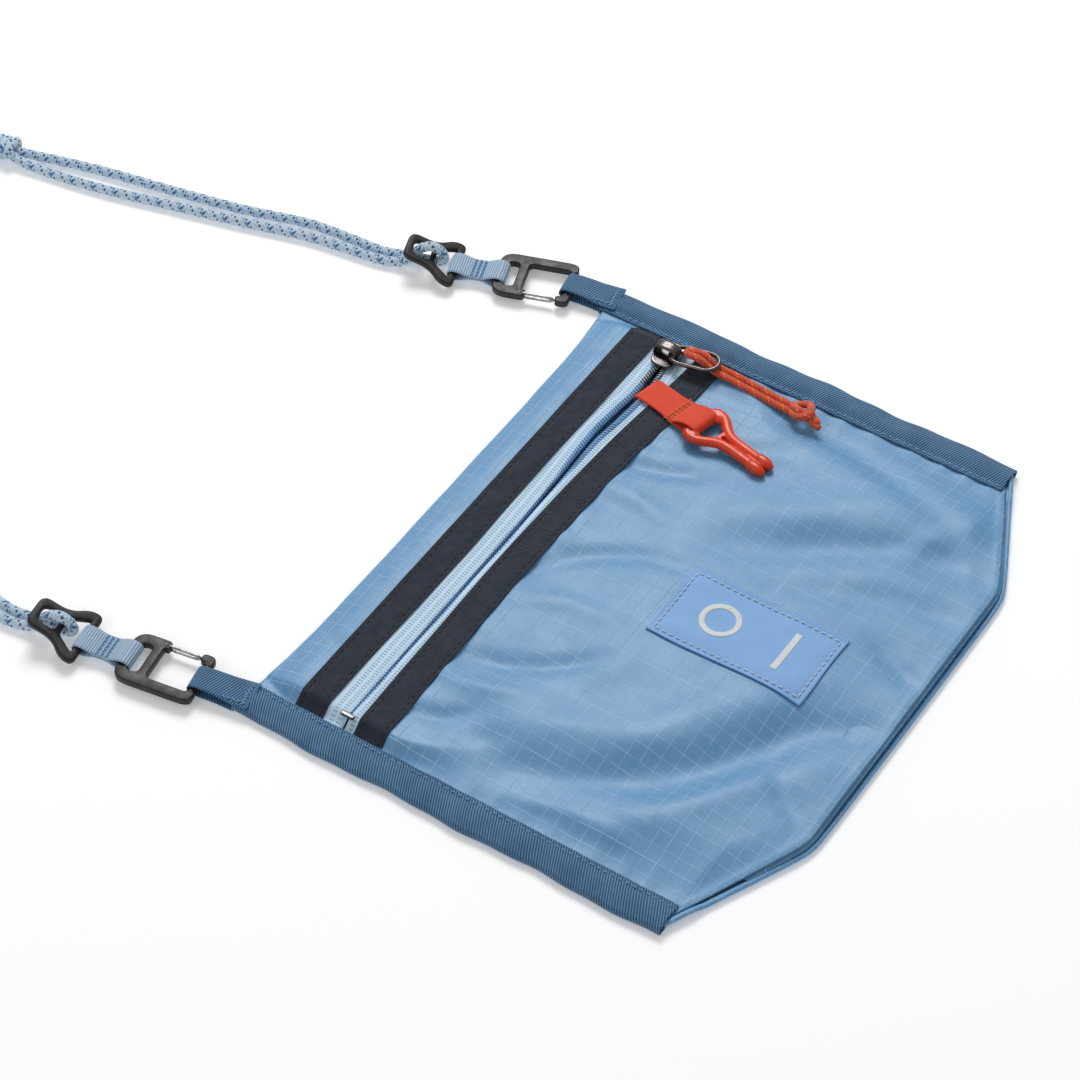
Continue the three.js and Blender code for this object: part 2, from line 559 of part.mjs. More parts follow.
// The two strands from each adjuster on to their knot
const CORD_RUNS = {
  right: {
    near: [
      [82.2, 176.8, 1.9], [81.2, 186, 1.9], [78.6, 203, 1.9], [71.5, 228.5, 1.9], [64.5, 255.5, 1.9],
      [57.6, 282.5, 1.9], [53.6, 306, 1.9], [52.3, 318.3, 2.8],
    ],
    far: [
      [86.3, 178.2, 1.9], [86.2, 190, 1.9], [84.4, 207, 1.9], [77, 233, 1.9], [71, 260.7, 1.9],
      [65.4, 289, 1.9], [60.2, 309, 1.9], [56.7, 318.3, 2.8],
    ],
    knot: [54.5, 325.5, 4],
  },
  left: {
    near: [[-126.9, 180.4, 1.9], [-126.2, 188, 1.9], [-122.5, 198, 1.9], [-117.6, 208, 1.9], [-114.6, 216, 2.8]],
    far: [[-122.6, 181.1, 1.9], [-121.2, 188, 1.9], [-117.8, 196.6, 1.9], [-113, 206.4, 1.9], [-110, 216, 2.8]],
    knot: [-112.3, 223.2, 4],
  },
};
const NECK_RUNS = {
  right: [[48.8, 328.6, 2.6], [38, 333, 1.9], [16, 328, 1.9], [-8, 320.5, 1.9], [-32, 319, 1.9], [-50, 323.2, 2]],
  left: [[-77.5, 315, 3], [-89, 303, 2], [-100, 284, 1.9], [-107, 262, 1.9], [-110.5, 245, 1.9], [-112, 230.4, 2.6]],
};

function addCords() {
  for (const { name } of SIDES) {
    const { near, far, knot: middle } = CORD_RUNS[name];
    place(`${name}_cord_near_strand`, 'cord', tube(near, CORD_RADIUS, 3 * (near.length - 1)));
    place(`${name}_cord_far_strand`, 'cord', tube(far, CORD_RADIUS, 3 * (far.length - 1)));
    place(`${name}_cord_knot`, 'cord', knot([5.4, 6.6, 3.8], middle));
    place(`neck_cord_${name}_run`, 'cord', tube(NECK_RUNS[name], CORD_RADIUS, 18));
  }
  const ring = [
    [COIL_INNER, 0], [COIL_OUTER, 0], [COIL_OUTER, COIL_STACK], [COIL_INNER, COIL_STACK], [COIL_INNER, 0],
  ].map(([radius, height]) => new THREE.Vector2(radius, height));
  const coil = new THREE.LatheGeometry(ring, 24).rotateX(Math.PI / 2);
  place('neck_cord_coil', 'cord', coil.translate(...COIL_CENTRE, 0));
}

addPanels();
addZip();
addSlider();
addPullCord();
addKeyStrap();
addLabel();
for (const side of SIDES) {
  addBinding(side);
  addStrapEnd(side);
}
addCords();

export default group;
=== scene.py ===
"""Neck pouch wallet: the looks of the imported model. Metres, in the part's own frame."""
import math

import bmesh
import bpy
import numpy as np
from mathutils import Matrix, Vector


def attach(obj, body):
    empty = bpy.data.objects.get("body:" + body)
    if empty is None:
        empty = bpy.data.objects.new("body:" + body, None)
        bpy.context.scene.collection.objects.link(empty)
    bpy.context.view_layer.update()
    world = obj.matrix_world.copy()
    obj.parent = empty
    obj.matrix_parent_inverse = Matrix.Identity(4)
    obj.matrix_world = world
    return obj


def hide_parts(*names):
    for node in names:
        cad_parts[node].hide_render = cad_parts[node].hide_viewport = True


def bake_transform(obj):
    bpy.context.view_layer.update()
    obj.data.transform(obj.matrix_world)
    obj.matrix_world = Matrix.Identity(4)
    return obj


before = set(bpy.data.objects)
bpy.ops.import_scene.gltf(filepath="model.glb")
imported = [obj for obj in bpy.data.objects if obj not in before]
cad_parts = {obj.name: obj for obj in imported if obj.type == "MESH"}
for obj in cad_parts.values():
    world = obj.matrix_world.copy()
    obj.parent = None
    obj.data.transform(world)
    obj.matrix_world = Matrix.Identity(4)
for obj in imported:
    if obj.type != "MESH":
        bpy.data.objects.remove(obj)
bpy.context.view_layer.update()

# Pouch
HALF_WIDTH = 0.1165
TOP_Y = 0.094
PANEL_TOP_Y = 0.092
BOTTOM_Y = -0.093
CHAMFER_Y = -0.069
CHAMFER_HALF_WIDTH = 0.063
TOP_EDGE_DIP = 0.003
FABRIC = 0.0005
CLOTH = 0.0003
BINDING_WIDTH = 0.0122
BINDING_HEIGHT = 0.0033
PANEL_HALF_WIDTH = 0.113
SIDE_LEVEL = 0.0018
RAMP_INNER = 0.0985
RAMP_OUTER = 0.104
RIPSTOP_PITCH = 0.005

# Zip
ZIP_Y = 0.0585
ZIP_LEVEL = 0.005
STRIP_INNER = 0.0075
STRIP_OUTER = 0.0185
SLIDER_X = 0.0937
SLIDER_FLOOR_LEVEL = 0.0016
SLIDER_DECK_LEVEL = 0.0074
SLIDER_LENGTH = 0.0128
SLIDER_WIDTH = 0.0112
BRIDGE_WIDTH = 0.0044
HINGE_Y = ZIP_Y - 0.0015
RING_LEVEL = 0.0094
RING_LENGTH = 0.018
RING_RADIUS = 0.0043
RING_WIRE = 0.0008
RING_LIFT = math.radians(4.6)
RING_YAW = math.radians(8)

# Key strap and clip
STRAP_X = 0.0751
STRAP_WIDTH = 0.0115
STRAP_BEND_Y = 0.05
STRAP_TURN = math.radians(-13)
CLIP_BAR_Y = 0.0297
CLIP_LEVEL = 0.0088

# Strap ends
LOOP_X = 0.1105
LOOP_REACH = 0.015
LOOP_WIDTH = 0.0094
STRAP_LEVEL = 0.003
FRAME_THICKNESS = 0.0028
ADJUSTER_Y = 0.0425
ADJUSTER_TILT = math.radians(20)
SIDES = {
    "left": {"side": -1, "loop_turn": math.radians(11), "end_turn": math.radians(9)},
    "right": {"side": 1, "loop_turn": math.radians(10), "end_turn": math.radians(19)},
}

# Cords
CORD_RADIUS = 0.0018
CORD_LEVEL = 0.0019
PULL_CORD_RADIUS = 0.0013
BRAID_STRANDS = 8
BRAID_PITCH = 0.0088
PULL_BRAID_PITCH = 0.0062
COIL_CENTRE = (-0.054, 0.294)
COIL_INNER_TURN = 0.0142
COIL_OUTER_TURN = 0.0252
COIL_TURNS_A_LAYER = 3
COIL_LAYERS = (CORD_LEVEL, 0.0056)

WORLD = Matrix.Identity(4)
UP = (0, 0, 1)


# ---------------------------------------------------------------- points and lines

def smooth(t):
    s = np.clip(t, 0, 1)
    return s * s * (3 - 2 * s)


def between(low, high, share):
    return low * (1 - share) + high * share


def moved(points, matrix):
    return np.array([matrix @ Vector(p) for p in np.asarray(points, float)])


def stacked(*coordinates):
    """Points made of one array for each coordinate, or one number where it is the same for all of them."""
    return np.stack(np.broadcast_arrays(*coordinates), axis=-1)


def mirrored(half):
    """A symmetric outline from the corners of its right half, starting at the first one's mirror image."""
    left = [(-x, *rest) for x, *rest in reversed(half)]
    return left[-1:] + half + left[:-1]


def run_of(line):
    """Distance along the line at each of its points."""
    return np.concatenate([[0], np.cumsum(np.linalg.norm(np.diff(line, axis=0), axis=1))])


def catmull_rom(points, step, closed=False):
    """Points about one step apart on a smooth curve through the given ones."""
    p = np.asarray(points, float)
    if closed:
        p = np.concatenate([p[-1:], p, p[:2]])
    else:
        p = np.concatenate([2 * p[:1] - p[1:2], p, 2 * p[-1:] - p[-2:-1]])
    dense = []
    for a, b, c, d in zip(p, p[1:], p[2:], p[3:]):
        k0, k1, k2, k3 = np.cumsum([0] + [max(np.linalg.norm(q) ** 0.5, 1e-6) for q in (b - a, c - b, d - c)])
        t = np.linspace(k1, k2, 24, endpoint=False)[:, None]

        def blend(first, second, start, end):
            return (end - t) / (end - start) * first + (t - start) / (end - start) * second

        left = blend(blend(a, b, k0, k1), blend(b, c, k1, k2), k0, k2)
        right = blend(blend(b, c, k1, k2), blend(c, d, k2, k3), k1, k3)
        dense.append(blend(left, right, k1, k2))
    dense.append(p[-2:-1])
    return resample(np.concatenate(dense), step)


def resample(line, step):
    along = run_of(line)
    where = np.linspace(0, along[-1], max(2, int(round(along[-1] / step)) + 1))
    return stacked(*(np.interp(where, along, line[:, k]) for k in range(3)))


def relaxed(line, times):
    """The line with its kinks smoothed out and its ends kept."""
    line = line.copy()
    for _ in range(times):
        line[1:-1] = 0.25 * line[:-2] + 0.5 * line[1:-1] + 0.25 * line[2:]
    return line


def curve_through(knots):
    """A smooth function through (x, value) pairs."""
    line = catmull_rom([(x, value, 0.0) for x, value in knots], 0.001)
    return lambda x: np.interp(x, line[:, 0], line[:, 1])


def frames_along(line, closed=False):
    """Tangent, side and up at each point, turned as little as possible along the line."""
    if closed:
        tangent = np.roll(line, -1, axis=0) - np.roll(line, 1, axis=0)
    else:
        tangent = np.gradient(line, axis=0)
    tangent /= np.linalg.norm(tangent, axis=1, keepdims=True)
    up = np.array([0.0, 0.0, 1.0]) if abs(tangent[0][2]) < 0.9 else np.array([1.0, 0.0, 0.0])
    sides, ups = [], []
    for t in tangent:
        up = up - t * (up @ t)
        up /= np.linalg.norm(up)
        sides.append(np.cross(t, up))
        ups.append(up)
    return tangent, np.array(sides), np.array(ups)


def rounded_outline(corners, steps=6):
    """A polygon whose corners [x, y, radius] are rounded, as a list of points."""
    points = []
    for i, (x, y, *radius) in enumerate(corners):
        here = np.array([x, y], float)
        if not radius:
            points.append(here)
            continue
        ends = []
        for other in (corners[i - 1], corners[(i + 1) % len(corners)]):
            away = np.array(other[:2], float) - here
            length = np.linalg.norm(away)
            ends.append(here + away / length * min(radius[0], length * 0.49))
        for t in np.linspace(0, 1, steps):
            points.append((1 - t) ** 2 * ends[0] + 2 * t * (1 - t) * here + t ** 2 * ends[1])
    return np.array(points)


# ---------------------------------------------------------------- meshes

def linked(name, data):
    """A new object in the scene that shows the data."""
    obj = bpy.data.objects.new(name, data)
    bpy.context.collection.objects.link(obj)
    return obj


def belongs(obj, body, slot, *nodes):
    """Says which body a piece moves with and which CAD nodes it stands for, and hides those; slot is not
    used.
    """
    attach(obj, body)
    if nodes:
        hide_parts(*nodes)
    return obj


def piece_from(name, points, faces, material, uvs=None, smooth_faces=True):
    """A mesh object in the part's frame. uvs holds one (u, v) for each corner of each face, in metres."""
    mesh = bpy.data.meshes.new(name)
    mesh.from_pydata(np.asarray(points, float).tolist(), [], [list(map(int, f)) for f in faces])
    if uvs is not None:
        layer = mesh.uv_layers.new(name="UVMap")
        layer.data.foreach_set("uv", np.asarray(uvs, np.float32).ravel())
    mesh.materials.append(material)
    mesh.polygons.foreach_set("use_smooth", [smooth_faces] * len(mesh.polygons))
    mesh.update()
    return linked(name, mesh)


def quads(rows, columns, start=0):
    """Corner indices of a grid's faces, facing the side from which rows run up and columns right."""
    r, c = np.meshgrid(np.arange(rows - 1), np.arange(columns - 1), indexing="ij")
    corners = [r * columns + c, r * columns + c + 1, (r + 1) * columns + c + 1, (r + 1) * columns + c]
    return start + stacked(*corners).reshape(-1, 4)


def ring_quads(rows, around, closed=False):
    """Outward faces of a tube made of rings, with the ring and the place round it of each corner."""
    r, c = np.meshgrid(np.arange(rows if closed else rows - 1), np.arange(around), indexing="ij")
    ring = stacked(r + 1, r + 1, r, r).reshape(-1, 4)
    place = stacked(c, c + 1, c + 1, c).reshape(-1, 4)
    return ring % rows * around + place % around, ring, place


def shell(name, top, uv, thickness, material, flip=False):
    """A sheet of fabric below a grid of points (rows, columns, 3), with a turned edge all round."""
    top, uv = np.asarray(top, float), np.asarray(uv, float)
    if flip:
        top, uv = top[::-1], uv[::-1]
    rows, columns = top.shape[:2]
    normal = np.cross(np.gradient(top, axis=1), np.gradient(top, axis=0))
    normal /= np.maximum(np.linalg.norm(normal, axis=-1, keepdims=True), 1e-12)
    bottom = top - normal * thickness
    count = rows * columns
    edge = list(range(columns)) + [r * columns + columns - 1 for r in range(1, rows)]
    edge += [(rows - 1) * columns + c for c in range(columns - 2, -1, -1)]
    edge += [r * columns for r in range(rows - 2, 0, -1)]
    rim = np.array([(a + count, b + count, b, a) for a, b in zip(edge, edge[1:] + edge[:1])])
    faces = np.concatenate([quads(rows, columns), quads(rows, columns, count)[:, ::-1], rim])
    points = np.concatenate([top.reshape(-1, 3), bottom.reshape(-1, 3)])
    flat_uv = np.concatenate([uv.reshape(-1, 2)] * 2)
    return piece_from(name, points, faces, material, flat_uv[faces.ravel()])


def swept(name, rings, u, v, material, closed=False):
    """A mesh over rings of points (rows, around, 3), with a flat face over each end unless it is closed.

    u has an entry for each place round a ring and v one for each ring, and one more where it meets itself.
    """
    rows, around = rings.shape[:2]
    faces, ring_of, place_of = ring_quads(rows, around, closed)
    uvs = stacked(u[place_of], v[ring_of]).reshape(-1, 2).tolist()
    faces = faces.tolist()
    if not closed:
        for ring, order in ((0, range(around)), (rows - 1, range(around)[::-1])):
            faces.append([ring * around + k for k in order])
            uvs += [[u[k], v[ring]] for k in order]
    return piece_from(name, rings.reshape(-1, 3), faces, material, uvs)


# A tube's rounded end: (distance beyond the end, size), each as a share of the radius
ROUND_END = [(0.75, 0.66), (0.35, 0.94)]


def tube(name, line, radius, material, around=16, relief=None, closed=False, ends="round"):
    """A round tube along a line. relief(turn, distance) adds to the radius, for a braid."""
    line = np.asarray(line, float)
    scale = np.ones(len(line))
    if not closed and ends == "round":
        start, end = line[0] - line[1], line[-1] - line[-2]
        start, end = start / np.linalg.norm(start), end / np.linalg.norm(end)
        head = [line[0] + start * radius * out for out, _ in ROUND_END]
        tail = [line[-1] + end * radius * out for out, _ in reversed(ROUND_END)]
        line = np.concatenate([head, line, tail])
        sizes = [size for _, size in ROUND_END]
        scale = np.concatenate([sizes, scale, sizes[::-1]])
    _, side, up = frames_along(line, closed)
    distance = run_of(line)
    turn = np.arange(around) / around
    reach = radius * scale[:, None] * np.ones((1, around))
    if relief is not None:
        reach = reach + relief(*np.meshgrid(turn, distance)) * scale[:, None]
    angle = 2 * np.pi * turn
    ring = side[:, None] * np.cos(angle)[None, :, None] + up[:, None] * np.sin(angle)[None, :, None]
    if closed:
        distance = np.append(distance, distance[-1] + np.linalg.norm(line[0] - line[-1]))
    rings = line[:, None] + ring * reach[..., None]
    return swept(name, rings, np.arange(around + 1) / around, distance, material, closed)


def strap(name, path, width, thickness, material, matrix=WORLD, closed=False, across=14, step=0.0004):
    """A flat strap along a (y, z) path, width across X. The width may be a function of y."""
    line = catmull_rom([(0.0, y, z) for y, z in path], step, closed)
    if closed:
        line = line[:-1]
    up = np.cross([1.0, 0.0, 0.0], frames_along(line, closed)[0])
    spread = np.linspace(-0.5, 0.5, across)
    section = np.array([(a, -1.0) for a in spread] + [(a, 1.0) for a in reversed(spread)])
    round_off = np.clip((np.abs(section[:, 0]) - 0.455) / 0.045, 0, 1)
    height = section[:, 1] * (thickness / 2) * np.sqrt(1 - 0.75 * round_off ** 2)
    widths = np.array([width(y) if callable(width) else width for y in line[:, 1]])
    rings = line[:, None] + up[:, None] * height[None, :, None]
    rings[:, :, 0] += widths[:, None] * section[None, :, 0]
    u = np.append(section[:, 0], section[0, 0]) * float(np.mean(widths))
    obj = swept(name, rings, u, np.arange(len(rings) + 1) * step, material, closed)
    obj.data.transform(matrix)
    return obj


def ball(name, centre, half_sizes, material, rings=14, around=20):
    angle = np.linspace(-math.pi / 2, math.pi / 2, rings)[::-1]
    turn = np.linspace(0, 2 * math.pi, around + 1)
    out = np.maximum(np.cos(angle)[:, None], 1e-3)
    points = stacked(out * np.cos(turn[:-1]), out * np.sin(turn[:-1]), np.sin(angle)[:, None])
    obj = swept(name, points * np.array(half_sizes) + np.array(centre), turn, angle, material)
    weld(obj, 1e-7)
    return obj


def box(name, low, high, material):
    corners = [(x, y, z) for z in (low[2], high[2]) for y in (low[1], high[1]) for x in (low[0], high[0])]
    faces = [(0, 2, 3, 1), (4, 5, 7, 6), (0, 1, 5, 4), (1, 3, 7, 5), (3, 2, 6, 7), (2, 0, 4, 6)]
    return piece_from(name, corners, faces, material, smooth_faces=False)


def plate(name, outline, holes, thickness, bevel, material, matrix=WORLD, bevel_steps=3):
    """A flat moulded plate with rounded edges, centred on z = 0 before the matrix is applied."""
    curve = bpy.data.curves.new(name + "_outline", "CURVE")
    curve.dimensions = "2D"
    curve.fill_mode = "BOTH"
    curve.extrude = thickness / 2 - bevel
    curve.bevel_depth = bevel
    curve.bevel_resolution = bevel_steps
    curve.offset = -bevel
    for ring in [outline] + list(holes):
        spline = curve.splines.new("POLY")
        spline.points.add(len(ring) - 1)
        for point, (x, y) in zip(spline.points, ring):
            point.co = (x, y, 0, 1)
        spline.use_cyclic_u = True
    source = linked(name + "_curve", curve)
    mesh = mesh_of(source)
    bpy.data.objects.remove(source)
    bpy.data.curves.remove(curve)
    mesh.transform(matrix)
    mesh.materials.clear()
    mesh.materials.append(material)
    mesh.polygons.foreach_set("use_smooth", [True] * len(mesh.polygons))
    mesh.name = name
    obj = linked(name, mesh)
    weld(obj)
    return obj


def weld(obj, distance=1e-6):
    bm = bmesh.new()
    bm.from_mesh(obj.data)
    bmesh.ops.remove_doubles(bm, verts=bm.verts, dist=distance)
    bmesh.ops.recalc_face_normals(bm, faces=bm.faces)
    bm.to_mesh(obj.data)
    bm.free()


def joined(name, objects):
    """One object made of several, with their material slots kept."""
    first = objects[0]
    with bpy.context.temp_override(active_object=first, selected_editable_objects=objects):
        bpy.ops.object.join()
    first.name = name
    first.data.name = name
    return first


def mesh_of(obj):
    """A new mesh of the object with its modifiers applied."""
    return bpy.data.meshes.new_from_object(obj.evaluated_get(bpy.context.evaluated_depsgraph_get()))


def apply_modifiers(obj):
    mesh, old = mesh_of(obj), obj.data
    obj.modifiers.clear()
    obj.data = mesh
    bpy.data.meshes.remove(old)


def moulded(obj, voxel, passes):
    """Melts overlapping solids into one smooth moulded shape."""
    remesh = obj.modifiers.new("melt", "REMESH")
    remesh.mode = "VOXEL"
    remesh.voxel_size = voxel
    soften = obj.modifiers.new("soften", "SMOOTH")
    soften.factor = 0.5
    soften.iterations = passes
    apply_modifiers(obj)
    obj.data.polygons.foreach_set("use_smooth", [True] * len(obj.data.polygons))


# ---------------------------------------------------------------- stitches

# A stitch from end to end: (share of its length, rise, size), the last two as shares of the thread's radius
STITCH_PROFILE = [(0.0, -0.9, 0.55), (0.12, -0.1, 0.9), (0.3, 0.45, 1.0), (0.5, 0.6, 1.0), (0.7, 0.45, 1.0),
                  (0.88, -0.1, 0.9), (1.0, -0.9, 0.55)]
STITCH_SIDES = 6


def stitches(name, seams, material, pitch=0.0032, filled=0.72, radius=0.00022):
    """Rows of thread stitches. Each seam is (points, up): a line on the cloth and its upward normals."""
    points, faces = [], []
    for line, up in seams:
        line = np.asarray(line, float)
        up = np.broadcast_to(np.asarray(up, float), line.shape)
        along = run_of(line)
        count = max(1, int(round(along[-1] / pitch)))
        step = along[-1] / count

        def at(values, s):
            return np.array([np.interp(s, along, values[:, k]) for k in range(3)])

        for i in range(count):
            start, span = (i + (1 - filled) / 2) * step, filled * step
            ahead = at(line, start + span) - at(line, start)
            forward = ahead / max(np.linalg.norm(ahead), 1e-9)
            base = len(points)
            for t, rise, size in STITCH_PROFILE:
                normal = at(up, start + span * t)
                normal = normal - forward * (normal @ forward)
                normal /= np.linalg.norm(normal)
                side = np.cross(forward, normal)
                centre = at(line, start + span * t) + normal * (rise * radius)
                for k in range(STITCH_SIDES):
                    angle = 2 * math.pi * k / STITCH_SIDES
                    outwards = side * math.cos(angle) + normal * math.sin(angle)
                    points.append(centre + radius * size * outwards)
            faces += (base + ring_quads(len(STITCH_PROFILE), STITCH_SIDES)[0]).tolist()
            faces.append([base + k for k in range(STITCH_SIDES)])
            faces.append([len(points) - STITCH_SIDES + k for k in range(STITCH_SIDES)][::-1])
    return piece_from(name, points, faces, material)


def bartack(start, end, reach, count):
    """Short slanting stitches side by side from start to end; reach is each one's own offset."""
    start, end, reach = (np.array(v, float) for v in (start, end, reach))
    seams = []
    for i in range(count):
        middle = start + (end - start) * (i + 0.5) / count
        lean = (end - start) / count * 0.5 * (1 if i % 2 else -1)
        seams.append((np.array([middle - reach / 2 - lean, middle + reach / 2 + lean]), UP))
    return seams


def placed_seams(seams, matrix):
    turn = matrix.to_3x3()
    return [(moved(line, matrix), tuple(turn @ Vector(up))) for line, up in seams]


# ---------------------------------------------------------------- materials

def linear(colour):
    """A screen colour of three 8-bit numbers as the one that shaders use; a colour of four is one already."""
    if len(colour) == 4:
        return colour
    shares = [value / 255 for value in colour]
    return (*[c / 12.92 if c <= 0.04045 else ((c + 0.055) / 1.055) ** 2.4 for c in shares], 1.0)


def shade(colour, factor):
    return tuple(min(255, c * factor) for c in colour)


class Material:
    """A principled material and short ways to build the nodes that feed it."""

    def __init__(self, name, colour, roughness, **settings):
        self.material = bpy.data.materials.new(name)
        self.material.use_nodes = True
        self.material.diffuse_color = linear(colour)
        self.tree = self.material.node_tree
        self.shader = self.tree.nodes["Principled BSDF"]
        self.put(self.shader, "Base Color", colour)
        self.put(self.shader, "Roughness", roughness)
        for socket, value in settings.items():
            self.put(self.shader, socket.replace("_", " "), value)

    def put(self, node, socket, value):
        if isinstance(value, bpy.types.NodeSocket):
            self.tree.links.new(value, node.inputs[socket])
        else:
            node.inputs[socket].default_value = linear(value) if isinstance(value, tuple) else value

    def node(self, kind, inputs, **settings):
        node = self.tree.nodes.new("ShaderNode" + kind)
        for setting, value in settings.items():
            setattr(node, setting, value)
        for socket, value in inputs.items():
            self.put(node, socket, value)
        return node

    def math(self, operation, *values):
        return self.node("Math", dict(enumerate(values)), operation=operation).outputs[0]

    def uv(self):
        source = self.node("UVMap", {}, uv_map="UVMap").outputs[0]
        split = self.node("SeparateXYZ", {0: source})
        return split.outputs[0], split.outputs[1]

    def wave(self, coordinate, pitch):
        """From 0 to 1 and back once every pitch."""
        turned = self.math("MULTIPLY", coordinate, 2 * math.pi / pitch)
        return self.math("MULTIPLY_ADD", self.math("SINE", turned), 0.5, 0.5)

    def line(self, coordinate, pitch, width):
        """1 on thin lines one pitch apart, 0 between them."""
        away = self.math("PINGPONG", coordinate, pitch / 2)
        return self.ramp(away, width * 0.75, width * 0.25)

    def ramp(self, value, low, high, out_low=0.0, out_high=1.0):
        inputs = {"Value": value, "From Min": low, "From Max": high, "To Min": out_low, "To Max": out_high}
        return self.node("MapRange", inputs, interpolation_type="SMOOTHSTEP").outputs[0]

    def noise(self, scale, detail, stretch=None):
        source = self.node("TexCoord", {}).outputs["Object"]
        if stretch is not None:
            mapping = self.node("Mapping", {"Vector": source})
            mapping.inputs["Scale"].default_value = stretch
            source = mapping.outputs[0]
        return self.node("TexNoise", {"Vector": source, "Scale": scale, "Detail": detail}).outputs[0]

    def mix(self, factor, first, second):
        return self.node("Mix", {0: factor, 6: first, 7: second}, data_type="RGBA").outputs[2]

    def colour(self, socket):
        self.put(self.shader, "Base Color", socket)

    def roughness(self, scale, detail, low, high, stretch=None):
        """Roughness that wanders between low and high."""
        wander = self.ramp(self.noise(scale, detail, stretch), 0.3, 0.7, low, high)
        self.put(self.shader, "Roughness", wander)

    def bump(self, height, distance, strength):
        node = self.node("Bump", {"Height": height, "Distance": distance, "Strength": strength})
        self.put(self.shader, "Normal", node.outputs[0])


def ripstop():
    """Thin coated nylon: plain weave crossed by paler ripstop threads every 5 mm."""
    m = Material("ripstop_nylon", (88, 146, 194), 0.36, Sheen_Weight=0.08, Sheen_Roughness=0.4,
                 Specular_IOR_Level=0.85)
    u, v = m.uv()
    across, along = m.line(u, RIPSTOP_PITCH, 0.00026), m.line(v, RIPSTOP_PITCH, 0.00026)
    slubs_across = m.ramp(m.noise(1.0, 2.0, (900.0, 170.0, 900.0)), 0.34, 0.56)
    slubs_along = m.ramp(m.noise(1.0, 2.0, (170.0, 900.0, 900.0)), 0.34, 0.56)
    grid = m.math("MAXIMUM", m.math("MULTIPLY", across, slubs_across), m.math("MULTIPLY", along, slubs_along))
    threads = m.math("MULTIPLY_ADD", grid, 0.6, m.math("MULTIPLY", m.math("MAXIMUM", across, along), 0.4))
    weave = m.math("MULTIPLY", m.wave(u, 0.00058), m.wave(v, 0.00058))
    uneven = m.ramp(m.math("MAXIMUM", slubs_across, slubs_along), 0.2, 1.0)
    cloudy = m.mix(m.noise(38.0, 3.0), (78, 144, 197), (100, 162, 210))
    streaky = m.mix(m.math("MULTIPLY", uneven, 0.3), cloudy, (122, 176, 216))
    # painted shade: the pits of the weave, where the bump sinks, are darkened towards a deeper blue
    weave_shaded = m.mix(m.math("MULTIPLY", weave, 0.5), streaky, (58, 118, 172))
    m.colour(m.mix(m.math("MULTIPLY", threads, 0.6), weave_shaded, (172, 212, 238)))
    m.roughness(60.0, 2.0, 0.3, 0.42)
    m.bump(m.math("ADD", m.math("MULTIPLY", weave, -0.9), threads), 0.00014, 0.6)
    return m.material


def twill(name, base, pale, roughness, pitch, slope, depth):
    """Tape woven with a diagonal rib. Its UVs run along the tape in v."""
    m = Material(name, base, roughness, Sheen_Weight=0.1, Sheen_Roughness=0.5, Specular_IOR_Level=0.35)
    u, v = m.uv()
    diagonal = m.wave(m.math("MULTIPLY_ADD", u, slope, v), pitch)
    crossing = m.wave(u, pitch * 0.8)
    # painted highlight and shade: the diagonal rib is painted pale on its crests, where the bump rises, and
    # keeps the darker base in its hollows
    cloth = m.mix(m.math("POWER", diagonal, 1.4), base, pale)
    patchy = m.ramp(m.noise(120.0, 3.0), 0.3, 0.7, 0.0, 0.3)
    m.colour(m.mix(patchy, cloth, shade(base, 0.86)))
    m.roughness(300.0, 2.0, roughness - 0.06, roughness + 0.08)
    m.bump(m.math("MULTIPLY_ADD", crossing, 0.25, diagonal), depth, 0.7)
    return m.material


def zip_tape():
    """Pale zip tape with two double rows of needle marks. v is the distance from the mouth."""
    m = Material("zip_tape_cloth", (205, 228, 246), 0.62, Sheen_Weight=0.2, Sheen_Roughness=0.4)
    u, v = m.uv()
    rows = 0.0
    for distance in (0.0018, 0.0026, 0.0044, 0.0052):
        row = m.ramp(m.math("ABSOLUTE", m.math("SUBTRACT", v, distance)), 0.0003, 0.00014)
        rows = m.math("MAXIMUM", rows, row)
    marks = m.math("MULTIPLY", rows, m.ramp(m.wave(u, 0.0012), 0.35, 0.7))
    knit = m.math("MULTIPLY", m.wave(u, 0.0006), m.wave(v, 0.0005))
    cloth = m.mix(m.math("MULTIPLY", knit, 0.3), (206, 234, 255), (178, 214, 244))
    m.colour(m.mix(m.math("MULTIPLY", marks, 0.8), cloth, (104, 142, 182)))
    m.bump(m.math("SUBTRACT", m.math("MULTIPLY", knit, 0.5), marks), 0.00014, 0.7)
    return m.material


def ribbed(name, base, pale, dark, pitch, depth):
    """Webbing with ribs across it. v runs along the strap."""
    m = Material(name, base, 0.6, Sheen_Weight=0.2, Sheen_Roughness=0.45)
    u, v = m.uv()
    rib = m.wave(v, pitch)
    yarn = m.wave(u, pitch * 0.55)
    fleck = m.ramp(m.noise(1400.0, 2.0), 0.45, 0.62)
    # painted shade and highlight: the gaps between the yarns, where the bump sinks, are darkened in random
    # flecks, and the ribs are pale on their crests and dark in their hollows
    gap_shade = m.math("MULTIPLY", m.math("MULTIPLY_ADD", fleck, 0.5, 0.5), m.math("SUBTRACT", 1.0, yarn))
    m.colour(m.mix(m.math("MULTIPLY", gap_shade, 0.6), m.mix(rib, dark, pale), dark))
    m.bump(m.math("MULTIPLY_ADD", yarn, 0.6, rib), depth, 0.8)
    return m.material


